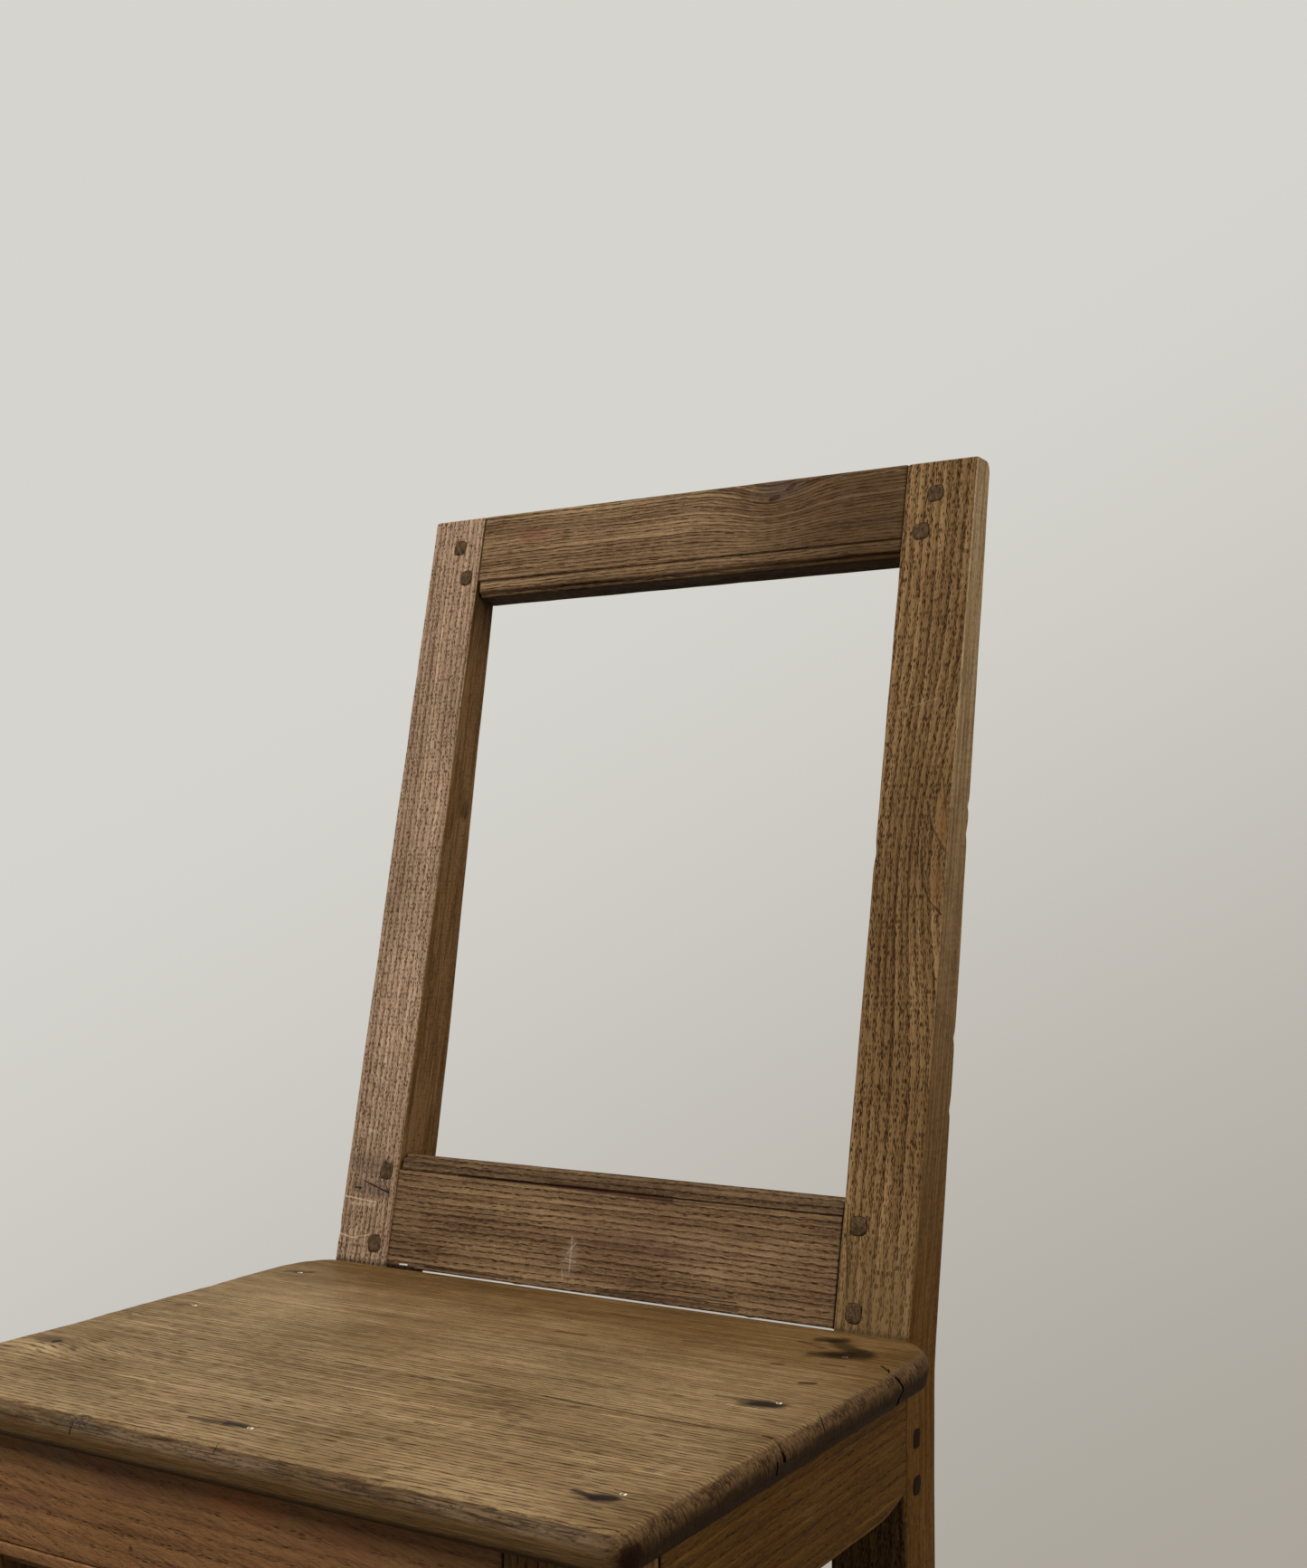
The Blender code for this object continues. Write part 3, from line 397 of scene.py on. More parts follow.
LEFT_POST_STROKES = (
    (-190.5, 62, -169, 58, 11, 0.36, SLATE, 0), (-188, 46, -167, 45, 7, 0.48, SLATE, 0),
    (-192, 30, -172, 26, 9, 0.08, SLATE, 0), (-184.7, 50.1, -163.3, 44.3, 0.7, 0.9, BLACK, 0.3),
    (-169.4, 51.8, -163.3, 44.3, 0.55, 0.8, BLACK, 0.2), (-191.4, 45.5, -186.1, 45.5, 0.8, 0.8, BLACK, 0.2),
    (-175.6, 20.8, -176.1, 29.5, 0.7, 0.8, DUSK, 0.3), (-191.1, 76.1, -190.2, 53.3, 0.8, 0.5, DUSK, 0.1),
    (-190.2, 53.3, -191.7, 43.5, 0.8, 0.5, DUSK, 0.1), (-193.7, 31.2, -192.2, -0.1, 0.55, 0.6, DUSK, 0.2),
    (-182.2, 18.6, -183, 2.5, 0.6, 0.6, DUSK, 0.2), (-198.6, 39.6, -173.4, 37.8, 0.8, 0.65, BONE, 0.1),
    (-194.8, 35.5, -173.7, 35.9, 1.4, 0.4, BONE, 0.05), (-200.7, 16.4, -188, 14.6, 0.7, 0.65, BONE, 0.1),
    (-188, 14.6, -176, 17.4, 0.7, 0.5, BONE, 0.1), (-186, 82, -180, 81, 1.6, 0.4, BONE, 0),
    (-196, 92, -192, 78, 1.2, 0.3, BONE, 0), (-170, 62.5, -167.5, 66.5, 0.8, 0.8, BLACK, 0.2),
    (-187, 118, -176, 112, 0.5, 0.4, BONE, 0), (-181, 137, -172, 149, 0.5, 0.4, BONE, 0),
)
RIGHT_POST_STROKES = (
    (157.6, 66, 158.4, 47, 0.55, 0.75, DUSK, 0.4), (158.4, 47, 160.6, 33, 0.6, 0.85, BLACK, 0.5),
    (160.6, 33, 161.4, 17, 0.6, 0.85, BLACK, 0.5), (193, 306, 199, 272, 0.5, 0.6, DUSK, 0.2),
    (184.6, 282, 184, 262, 0.5, 0.6, DUSK, 0.2), (184, 262, 188.5, 238, 0.5, 0.6, DUSK, 0.2),
    (154.5, 266, 156.5, 256, 1, 0.85, BLACK, 0.3), (160, 343, 186, 350, 0.5, 0.18, BONE, 0.1),
    (165, 351, 176, 347, 0.4, 0.18, BONE, 0.1), (185.3, 290, 188.6, 276, 0.7, 0.7, DUSK, 0.3),
    (188.6, 276, 197.6, 262, 0.7, 0.8, DUSK, 0.3), (183.5, 262, 186, 244, 0.7, 0.7, DUSK, 0.3),
    (186, 244, 191.5, 233, 0.7, 0.7, DUSK, 0.3), (191.5, 233, 199, 226, 0.8, 0.8, DUSK, 0.3),
    (187, 290, 190.2, 276, 0.5, 0.12, BONE, 0), (190.2, 276, 198.6, 264, 0.5, 0.15, BONE, 0),
    (185.2, 262, 187.6, 244, 0.5, 0.12, BONE, 0),
)
TOP_RAIL_STROKES = (
    (64.2, 482.3, 69, 483.4, 2.3, 0.95, BLACK, 0.6), (75, 487.4, 79.5, 490.2, 1.8, 0.95, BLACK, 0.5),
    (52, 482, 62, 480, 1.2, 0.6, DUSK, 0.2), (84, 489.5, 96, 492, 1, 0.6, DUSK, 0.1),
    (58, 491.6, 96, 492, 1, 0.7, DUSK, 0.1), (112, 492.2, 132, 492.3, 0.8, 0.7, DUSK, 0.1),
    (-154, 492.2, 50, 492.2, 0.5, 0.55, DUSK, 0),
)
LOWER_RAIL_STROKES = (
    (-20.5, 32, -20, 12, 0.7, 0.35, BONE, 0), (-17.5, 28, -22.5, 22, 0.6, 0.4, BONE, 0),
    (-24, 19, -16, 17.5, 0.6, 0.35, BONE, 0), (-25.5, 12, -24, 7, 0.6, 0.3, BONE, 0),
    (-127, 2.6, -64, 2.6, 1.2, 0.65, DUSK, 0.4), (1, 2.6, 95, 2.8, 1.6, 0.6, DUSK, 0.4),
    (30, 5.5, 94, 6.5, 0.7, 0.6, DUSK, 0.4), (-154, 7, -128, 6.5, 0.5, 0.75, DUSK, 0.3),
    # The black stroke from -157 to -136 along the lower edge is painted shade where the rail sits down on the
    # seat
    (-147, 2.2, -141.5, 2.4, 0.9, 0.95, (226, 218, 204), 0), (-157, 1.2, -136, 1.2, 1.4, 0.85, BLACK, 0),
    (-110, 59.6, 0, 59.2, 1.4, 0.8, DUSK, 0.3), (-40, 60.2, 45, 58.4, 2.8, 0.8, (58, 35, 27), 0.3),
    (20, 57.6, 110, 58, 1, 0.5, DUSK, 0.2),
)
SEAT_STROKES = (
    # Stains left of the nails, with their tails
    (184, -288.4, 191, -286, 7.4, 0.6, DUSK, 0), (186, -288.2, 192, -285.4, 5.6, 0.95, BLACK, 0.15),
    (174, -285, 187, -288.2, 2.6, 0.8, BLACK, 0.1), (191.6, -297.3, 194.3, -296.9, 1.3, 0.7, DUSK, 0.1),
    (-12, -291, -3, -289.8, 4.4, 0.92, BLACK, 0.15), (-33.2, -292.9, -12, -290.8, 2.4, 0.8, DUSK, 0.1),
    (-22, -291, -6, -290, 6, 0.35, DUSK, 0), (178.2, -141.9, 190, -139, 10, 0.6, DUSK, 0),
    (182.2, -141.9, 190, -139.2, 7.6, 0.95, BLACK, 0.15), (158.8, -139.5, 178, -139, 1.6, 0.7, DUSK, 0.1),
    (194, -134, 205, -128, 1.2, 0.5, DUSK, 0.1), (168, -50, 192, -42, 9, 0.66, BLACK, 0.1),
    (176, -44, 190, -36, 9, 0.75, BLACK, 0.1), (158, -21.1, 168.3, -16.4, 7.5, 0.72, BLACK, 0.1),
    (166.4, -21.1, 184, -33.5, 8, 0.72, BLACK, 0.1), (178.9, -64.4, 190.5, -63.3, 2, 0.55, DUSK, 0.1),
    (150, -30, 166, -36, 3, 0.45, DUSK, 0), (158, -76.2, 161, -76, 3.4, 0.6, (78, 50, 30), 0),
    (185, -99.8, 190.6, -97.4, 3, 0.85, DUSK, 0.1), (-203, -41, -188, -36.5, 4.6, 0.65, DUSK, 0),
    (-198, -140, -192, -136, 2.6, 0.4, DUSK, 0),
    # Short dark checks and streaks
    (-38, -186.6, -18, -186.2, 1.5, 0.6, DUSK, 0.1), (12, -187.9, 26, -187.2, 1.4, 0.6, DUSK, 0.1),
    (88, -211.9, 98, -211.3, 1.4, 0.7, DUSK, 0.1), (26, -78.9, 44, -78, 2.4, 0.6, (80, 52, 32), 0.1),
    (61, -245.8, 74, -245.3, 1.5, 0.6, DUSK, 0.1), (-136, -203, -131, -202.6, 1.6, 0.7, DUSK, 0.1),
    (-86, -148, -78, -148, 2.4, 0.35, DUSK, 0), (96, -60, 112, -58.5, 2.2, 0.5, DUSK, 0),
    (-22, -60, 20, -57, 1.8, 0.4, DUSK, 0), (30, -30, 90, -27, 1.6, 0.35, DUSK, 0),
    # The splits' lines across the top
    (30.4, -178.3, 96.5, -183.2, 1.1, 0.55, DUSK, 0.1), (88.4, -182.3, 140.5, -185.2, 1.3, 0.85, DUSK, 0.2),
    (140.5, -185.2, 188.3, -184, 1.3, 0.95, DUSK, 0.3), (188.3, -184, 206, -182.8, 1.2, 0.95, BLACK, 0.4),
    (206, -182.8, 214, -184.8, 1.1, 0.95, BLACK, 0.5), (206.5, -52, 214, -59.5, 1.1, 0.9, BLACK, 0.3),
    # Dark and light lines of the figure at the left
    (-171.1, -183.9, -78.9, -196.5, 3.4, 0.32, (80, 66, 44), 0),
    (-155.1, -192.6, -103.6, -184, 2.6, 0.25, DUSK, 0),
    (-202.2, -169.2, -104.2, -162.5, 1.6, 0.4, (176, 150, 112), 0),
    (-171.3, -210.9, -119, -201.6, 1.4, 0.35, (176, 150, 112), 0),
    (-160, -226, -112, -224, 5, 0.35, (84, 66, 50), 0),
)


def left_post_marks(wood):
    """The inner face is browner, with a knot."""
    fade = wood.fade
    inner = fade(wood.across, LEFT_INNER - 1.2 * MM, LEFT_INNER - 0.1 * MM)
    wood.tint(inner * 0.8, (136, 103, 64))
    # Painted shade: the inner face darkens towards the top, under the top rail
    wood.shade(inner * fade(wood.along, raised(370), raised(436)), 0.50, 0.48, 0.45)
    fibre = wood.cloudy(22, 300, 620, 4.0, 0.7)
    wood.shade(inner * fade(fibre, 0.56, 0.38), 0.58, 0.53, 0.44)
    wood.tint(inner * fade(fibre, 0.56, 0.72) * 0.4, (164, 130, 92))
    for height, depth, reach, ragged, share, paint in (
            (292, 19.5, (10, 5, 6), 0.5, 0.6, (64, 49, 35)), (288, 21, (4, 5, 2), 0.7, 0.45, BLACK)):
        knot = wood.blot((raised(height), LEFT_INNER, depth * MM), reach, 0.6, ragged, 260.0)
        wood.tint(inner * knot * share, paint)


def right_post_marks(wood):
    """The sides are smoother: the outer one pale and grey at the top, orange brown at the seat, partly
    weathering and partly painted light.
    """
    mix, fade, darken, along = wood.mix, wood.fade, wood.darken, wood.along
    outer = fade(wood.across, HALF_BACK - 1.3 * MM, HALF_BACK - 0.3 * MM)
    # The outer side grows paler upwards: partly the wood's grey weathering, partly painted light
    side = mix(fade(along, raised(-40), raised(430)), (115, 81, 35), (190, 166, 132))
    streaks = wood.cloudy(8, 50, 330, 3.0, 0.65)
    side = darken(fade(streaks, 0.62, 0.40), side, 0.62, 0.55, 0.44)
    grey = wood.cloudy(25, 50, 900, 3.0, 0.7)
    side = mix(fade(grey, 0.54, 0.68) * 0.35, side, (170, 148, 112))
    side = darken(fade(grey, 0.46, 0.32) * 0.6, side, 0.66, 0.58, 0.48)
    pores, odds = wood.cells(wood.scaled(170, 900, 1700))
    dash = fade(pores, 0.5, 0.2) * fade(odds, 0.3, 0.22) * 0.6
    wood.tint(outer * 0.92, mix(dash, side, (58, 40, 24)))
    inner = fade(wood.across, RIGHT_INNER + 1.4 * MM, RIGHT_INNER + 0.2 * MM)
    side = mix(fade(streaks, 0.40, 0.62), (74, 52, 31), (124, 95, 61))
    wood.tint(inner * 0.85, mix(dash, side, (58, 40, 24)))
    low = fade(along, raised(80), raised(10)) * fade(along, raised(-12), raised(-4))
    wood.tint(low * (1.0 - outer) * 0.42, (114, 93, 62))


def front_apron_marks(wood):
    """Fine fibres that slant down to the right over a mottled red brown ground."""
    run = wood.along * 0.97 - wood.across * 0.24
    beside = wood.across * 0.97 + wood.along * 0.24
    bend = wood.cloudy(14, 30, 30) * (6 * MM)
    fleck = wood.clouds(wood.point(run * 90, (beside + bend) * 1250, wood.through * 400), 3.0, 0.65)
    streak = wood.clouds(wood.point(run * 30, (beside + bend) * 480, wood.through * 200), 3.0, 0.65)
    for field, start, end, share, paint in (
            (streak, 0.50, 0.68, 0.45, (138, 98, 62)), (streak, 0.47, 0.30, 0.50, (62, 38, 26)),
            (fleck, 0.54, 0.70, 0.45, (158, 116, 76)), (fleck, 0.46, 0.30, 0.50, (44, 26, 17))):
        wood.tint(wood.fade(field, start, end) * share, paint)
    # Painted light: the apron is lightened just below the seat, against the seat's shadow
    painted_light = wood.fade(wood.across, FRAME_TOP - 40 * MM, FRAME_TOP - 6 * MM)
    wood.tint(painted_light * 0.7, (104, 73, 47), "SCREEN")


def seat_marks(wood):
    """Browner towards the back, and worn, dirty edges with painted shade on their lower parts."""
    mix, fade, cloudy, tint, shade = wood.mix, wood.fade, wood.cloudy, wood.tint, wood.shade
    knot = wood.blot((*plain(-199, -231), 0), (15, 9, 8), 0.8, 0.9, 330.0)
    tint(knot * 0.8, (84, 66, 47))
    core = wood.blot((*plain(-193, -232), 0), (3.0, 4.4, 8), 0.5, 0.9, 400.0)
    tint(core * 0.95, BLACK)
    shade(fade(wood.across + wood.along * 0.12, -120 * MM, -20 * MM), 0.62, 0.54, 0.42)
    shade(fade(cloudy(9, 16, 16, 4.0, 0.65), 0.58, 0.38) * 0.65, 0.72, 0.68, 0.62)
    shade(fade(cloudy(12, 160, 160, 4.0, 0.7), 0.54, 0.38) * 0.55, 0.72, 0.65, 0.56)
    torn = wood.rough(420.0)
    shade(fade(wood.along + torn * (9 * MM), 188 * MM, 213 * MM) * 0.6, 0.70, 0.65, 0.58)

    # The rounded edges: a ragged border, a rubbed grey crest, a brown band, and painted shade to near black
    # where the edge turns under
    depth, end = wood.through, wood.carried("end_grain")
    ragged = depth + torn * (3 * MM)
    streak = cloudy(45, 1000, 1100, 3.0, 0.7)
    lip = fade(depth + torn * (2.4 * MM), 0.6 * MM, 1.9 * MM)
    tint(lip * 0.92, mix(fade(streak, 0.36, 0.62), (42, 29, 18), (90, 69, 46)))
    crest = fade(depth, 1.2 * MM, 2.8 * MM) * fade(depth, 8.0 * MM, 4.8 * MM)
    patchy = fade(cloudy(20, 60, 120, 3.0, 0.65), 0.40, 0.54)
    tint(crest * patchy * fade(streak, 0.34, 0.56) * 0.42, (126, 105, 83))
    tint(fade(wood.rough(900.0), -0.04, -0.16) * crest * 0.7, (46, 33, 23))
    warm = fade(ragged, 6.0 * MM, 8.5 * MM)
    tint(warm * (1.0 - end) * fade(streak, 0.7, 0.4) * 0.7, (92, 66, 34))
    # Painted shade: dark where the front edge turns under
    tint(fade(ragged, 12 * MM, 16 * MM) * 0.8, (46, 32, 18))
    gnarl = wood.blot((*plain(-78, -318), 3 * MM), (17, 6, 4), 0.8, 1.0, 300.0)
    net = fade(wood.size_of(wood.rough(700.0)), 0.09, 0.02)
    tint(gnarl * 0.3, (112, 100, 84))
    tint(gnarl * net * 0.8, BLACK)

    # End grain along the sides: furry and brown above, and painted shade to almost black below
    fur = wood.clouds(wood.point(wood.along * 500, wood.across * 900, depth * 160), 3.0, 0.7)
    smear = cloudy(60, 90, 200, 3.0, 0.6)
    tint(end * lip * 0.9, mix(fade(fur * 0.6 + smear * 0.4, 0.38, 0.62), (48, 32, 18), (126, 98, 66)))
    # Painted shade: the lower part of the side edges goes almost black
    low = fade(depth + (smear - 0.5) * (14 * MM), 3.5 * MM, 10.0 * MM)
    tint(end * low * 0.9, (37, 24, 12))
    corner = wood.blot((*plain(218.5, -314), 9.5 * MM), (9, 9, 8), 0.55, 0.8, 300.0)
    tint(corner * 0.9, (36, 18, 12))
    wood.height = wood.height + (fur - 0.5) * end * lip * (0.5 * MM) + (streak - 0.5) * lip * (0.5 * MM)
    wood.shine = wood.shine - (1.0 - lip) * 0.06


def side_apron_marks(wood):
    """Fine unbroken fibres that slant a little to the board."""
    beside = wood.across * 0.995 - wood.along * 0.10
    fibre = wood.clouds(wood.point(wood.along * 20, beside * 800, wood.through * 800), 3.0, 0.65)
    wood.tint(wood.fade(fibre, 0.54, 0.72) * 0.28, (140, 108, 62))
    wood.tint(wood.fade(fibre, 0.46, 0.28) * 0.60, (54, 37, 18))
    hair = wood.clouds(wood.point(wood.along * 60, beside * 1500, wood.through * 1500), 2.0, 0.7)
    wood.shade(wood.fade(hair, 0.5, 0.34) * 0.8, 0.66, 0.60, 0.5)


def peg_wood(name):
    """The heads of riven pegs: grey brown, with dark pores in rows."""
    wood = Wood(name)
    turn = wood.length(wood.across - 9 * MM, wood.through * 0.4 - 4 * MM) / (1.7 * MM)
    spot, chance = wood.cells(wood.scaled(90, 1700, 900))
    pore = wood.fade(spot, 0.5, 0.2) * wood.fade(chance, 0.5, 0.35)
    cloud = wood.cloudy(150, 420, 240, 3.0, 0.6)
    wood.colour = wood.mix(wood.fade(cloud, 0.3, 0.7), (56, 43, 29), (98, 78, 55))
    wood.shade(wood.fade(wood.math("FRACT", turn), 0.5, 0.0) * 0.6, 0.66, 0.60, 0.55)
    wood.tint(pore * 0.8, (32, 25, 20))
    # Painted shade: the rim darkens in the gap round the head
    wood.tint(wood.carried("edge") * 0.32, (30, 22, 15))
    wood.tint(wood.carried("grime_and_shade") * 0.9, (34, 24, 15))
    return wood.finish(0.62 + cloud * 0.15, (cloud - 0.5) * (0.4 * MM) - pore * (0.12 * MM))


def old_iron(name):
    """Nail heads: iron with two painted highlights, bright spots on the crown that stand in for glints."""
    iron = Wood(name)
    blotch = iron.cloudy(1500, 1500, 1500, 3.0, 0.6)
    # Painted highlights: two near-white spots on the crown stand in for glints
    glint = iron.fade(iron.size_of(iron.along) + (blotch - 0.5) * (0.6 * MM), 0.55 * MM, 0.95 * MM)
    glint = glint * iron.fade(iron.size_of(iron.across), 1.3 * MM, 0.8 * MM)
    iron.colour = iron.mix(glint, (134, 120, 96), (255, 252, 244))
    iron.tint(iron.carried("grime_and_shade"), (58, 42, 30))
    iron.surface.inputs["Metallic"].default_value = 0.35
    return iron.finish(0.5 - glint * 0.2, blotch * (0.15 * MM))


# Each board's tones, rings and marks. A swirl is x, y, its length and width, and how far it
# pushes the grain. A blot is x, y, its reach, its raggedness, its share and its colour.
LOOKS = {
    "left_post": {
        "pale": (187, 160, 134), "body": (158, 132, 109), "dark": (120, 97, 76), "pores": (66, 42, 27),
        "ring": 4.1, "heart": (260, 60), "rays": 0.55, "wander": 2.0, "ripple": 0.7, "zigzag": 140.0,
        "pore": (2.6, 0.58), "crowd": 0.95, "stray": 0.42, "row": 0.30, "line": 0.18, "contrast": 1.3,
        "rub": 0.2, "seed": 3.0, "relief": 1.7, "nap": 0.85, "place": on_post, "marks": left_post_marks,
        "strokes": (on_post, LEFT_POST_STROKES), "swirls": ((-157.7, 300, 22, 10, 3),),
    },
    "right_post": {
        "pale": (151, 121, 84), "body": (121, 94, 61), "dark": (85, 62, 37), "pores": (44, 26, 12),
        "ring": 5.4, "heart": (560, 40), "wander": 4.0, "ripple": 1.1, "zigzag": 130.0,
        "pore": (3.6, 0.56), "stray": 0.44, "row": 0.34, "line": 0.10, "contrast": 1.5,
        "rub": 0.25, "seed": 11.0, "nap": 0.9, "relief": 2.2, "place": on_post, "marks": right_post_marks,
        "strokes": (on_post, RIGHT_POST_STROKES), "swirls": ((206, 262, 62, 26, -17),),
        "blots": (
            (195, 276, (17, 6, 6), 0.2, 0.7, (124, 92, 57)), (194, 243, (17, 7, 6), 0.2, 0.6, (116, 84, 50)),
        ),
    },
    "top_rail": {
        "pale": (154, 127, 95), "body": (123, 98, 71), "dark": (82, 60, 40), "pores": (44, 28, 17),
        "ring": 2.4, "heart": (760, 45), "wander": 2.5, "zigzag": 60.0, "pore": (9.0, 0.50),
        "stray": 0.16, "row": 0.34, "line": 0.25, "seed": 23.0, "contrast": 1.8, "nap": 1.0,
        "strokes": (on_rail, TOP_RAIL_STROKES), "swirls": ((66, 500, 22, 22, -11),),
        "blots": (
            # Painted shade: the first blot darkens the rail's right half, as the light falls off there
            (170, 480, (190, 300, 60), 0, 0.68, (58, 39, 20)),
            (-115.6, 489, (20, 9, 8), 0.5, 0.35, (112, 62, 52)),
            (70, 499, (24, 8, 9), 0.9, 0.6, (72, 58, 52)),
        ),
    },
    "lower_rail": {
        "pale": (148, 121, 90), "body": (116, 92, 67), "dark": (80, 60, 42), "pores": (48, 31, 22),
        "ring": 3.7, "heart": (380, 70), "wander": 2.5, "zigzag": 120.0, "pore": (5.0, 0.56),
        "crowd": 0.9, "row": 0.28, "line": 0.25, "contrast": 1.8, "nap": 1.0, "seed": 31.0,
        "strokes": (on_rail, LOWER_RAIL_STROKES),
        "blots": (
            (-20, 20, (9, 17, 6), 1.2, 0.22, (150, 136, 120)),
            (40, 34, (90, 16, 8), 0.8, 0.25, (92, 66, 58)),
        ),
    },
    "front_apron": {
        "pale": (156, 114, 74), "body": (124, 89, 57), "dark": (88, 57, 36), "pores": (38, 22, 15),
        "ring": 4.0, "heart": (300, 160), "contrast": 1.1, "wander": 5.0, "pore": (5.0, 0.6),
        "crowd": 0.30, "stray": 0.08, "line": 0.08, "seed": 41.0, "marks": front_apron_marks,
        "blots": (
            (-60, 418, (34, 12, 8), 0.9, 0.50, (96, 62, 54)),
            (-112, 424, (30, 8, 8), 0.9, 0.5, (104, 90, 74)),
            (10, 421, (34, 12, 8), 0.9, 0.50, (150, 84, 50)),
            (70, 416, (34, 14, 8), 0.9, 0.45, (110, 66, 46)),
            (-130, 396, (26, 9, 8), 0.9, 0.40, (100, 64, 56)), (-59, 388, (2.4, 1.8, 8), 0.9, 0.9, BLACK),
        ),
    },
    "side_apron": {
        "pale": (130, 98, 50), "body": (102, 73, 34), "dark": (72, 48, 21), "pores": (46, 31, 17),
        "ring": 3.6, "heart": (300, 120), "contrast": 1.2, "nap": 1.0, "wander": 4.0, "pore": (5.0, 0.6),
        "crowd": 0.22, "stray": 0.06, "line": 0.1, "seed": 53.0, "marks": side_apron_marks,
    },
    "leg": {
        "pale": (156, 125, 84), "body": (128, 99, 62), "dark": (94, 69, 42), "pores": (48, 31, 19),
        "ring": 4.0, "heart": (230, 130), "crowd": 0.7, "seed": 61.0,
    },
    "stretcher": {
        "pale": (148, 118, 80), "body": (120, 93, 60), "dark": (86, 63, 40), "pores": (46, 30, 20),
        "ring": 3.4, "heart": (330, 60), "crowd": 0.7, "seed": 71.0,
    },
    "seat": {
        "pale": (178, 154, 116), "body": (147, 123, 89), "dark": (106, 85, 59), "pores": (58, 39, 24),
        "ring": 3.3, "heart": (720, 70), "taper": (0.03, 0.0), "wander": 2.4, "ripple": 0.7,
        "zigzag": 50.0, "nap_run": 80.0, "row": 0.30, "line": 0.24, "pore": (11.0, 0.66), "stray": 0.22,
        "rub": 0.0, "contrast": 1.25, "relief": 0.7, "seed": 83.0, "dull": -0.03, "fading": (-40, -230),
        "strokes": (plain, SEAT_STROKES), "marks": seat_marks, "swirls": ((-202, -233, 30, 15, 13),),
    },
}
SHADERS = {name: oak("oak_" + name, look) for name, look in LOOKS.items()}
PEG_WOOD = peg_wood("peg_end_grain")
IRON = old_iron("old_iron")


# Meshes

def ripple(x, y, z, reach, seed=0.0):
    """Smooth noise from -1 to 1 with waves about that long."""
    return noise.noise(Vector((x / reach + seed, y / reach, z / reach)))


def rounded(corners):
    """Outline through corners given as (u, v, radius, arc steps, side steps).

    Each point comes with the way it faces. The side steps cut the side after the corner.
    """
    arcs = []
    for k, (u, v, radius, steps, _) in enumerate(corners):
        here = Vector((u, v))
        first = (here - Vector(corners[k - 1][:2])).normalized()
        second = (Vector(corners[(k + 1) % len(corners)][:2]) - here).normalized()
        turning = math.atan2(first.x * second.y - first.y * second.x, first.dot(second))
        reach = abs(radius * math.tan(turning / 2))
        side = 1 if turning > 0 else -1
        centre = here - first * reach + Vector((-first.y, first.x)) * radius * side
        arc = []
        for step in range(steps + 1):
            angle = turning * step / steps - math.pi / 2 * side
            way = Vector((first.x * math.cos(angle) - first.y * math.sin(angle),
                          first.x * math.sin(angle) + first.y * math.cos(angle)))
            arc.append((centre + way * radius, way * side))
        arcs.append(arc)
    points = []
    for k, arc in enumerate(arcs):
        points += arc
        start, facing = arc[-1]
        end, steps = arcs[(k + 1) % len(arcs)][0][0], corners[k][4]
        for step in range(1, steps):
            share = (1 - math.cos(math.pi * step / steps)) / 2
            points.append((start.lerp(end, share), facing))
    return points


def box_section(low_u, low_v, high_u, high_v, radii, arc_steps, side_steps):
    """Corners of a rectangular section, each with its own wear."""
    places = ((low_u, low_v), (high_u, low_v), (high_u, high_v), (low_u, high_v))
    return [(*place, radius, arc_steps, steps) for place, radius, steps in zip(places, radii, side_steps * 2)]


def ring_of(corners, push, place):
    """A section pushed in where it is worn, and set in place."""
    return [place(point + facing * push(point)) for point, facing in rounded(corners)]


def add_object(name, data):
    """A new object in the scene."""
    item = bpy.data.objects.new(name, data)
    bpy.context.scene.collection.objects.link(item)
    return item


def solid(name, points, faces, finish):
    """A mesh object with its faces turned outwards."""
    data = bpy.data.meshes.new(name)
    data.from_pydata([tuple(point) for point in points], [], faces)
    middle = sum((Vector(point) for point in points), Vector()) / len(points)
    if sum(face.area * face.normal.dot(face.center - middle) for face in data.polygons) < 0:
        data.flip_normals()
    data.materials.append(finish)
    smooth(data)
    return add_object(name, data)


def smooth(data):
    data.shade_smooth()
    data.set_sharp_from_angle(angle=math.radians(38))


def loft(name, rings, finish):
    """Skin a row of closed rings and close both ends."""
    around = len(rings[0])
    points = [point for ring in rings for point in ring]
    faces = []
    for low in range(0, len(points) - around, around):
        for j in range(around):
            after, high = (j + 1) % around, low + around
            faces.append((low + j, low + after, high + after, high + j))
    faces.append(tuple(reversed(range(around))))
    faces.append(tuple(range(len(points) - around, len(points))))
    return solid(name, points, faces, finish)


def carve(item, cutters):
    """Cut shapes out of a piece for good."""
    for cutter in cutters:
        step = item.modifiers.new("cut", "BOOLEAN")
        step.operation = "DIFFERENCE"
        step.solver = "EXACT"
        step.object = cutter
    shown = bpy.context.evaluated_depsgraph_get()
    result = bpy.data.meshes.new_from_object(item.evaluated_get(shown))
    item.modifiers.clear()
    item.data = result
    smooth(result)
    for cutter in cutters:
        bpy.data.objects.remove(cutter)


def dress(item, describe, node):
    """Store grain coordinates, worn edges, grime with painted shade, and end grain, from each point's place.

    The piece then rides on the chair and stands for its solid.
    """
    data = item.data
    columns = zip(*(describe(vertex.co) for vertex in data.vertices))
    for name, column in zip(("grain", "edge", "grime_and_shade", "end_grain"), columns):
        if name in data.attributes:
            data.attributes.remove(data.attributes[name])
        if name == "grain":
            places = [value for place in column for value in place]
            data.attributes.new(name, "FLOAT_VECTOR", "POINT").data.foreach_set("vector", places)
        else:
            data.attributes.new(name, "FLOAT", "POINT").data.foreach_set("value", column)
    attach(item, "root")
    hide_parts(node)


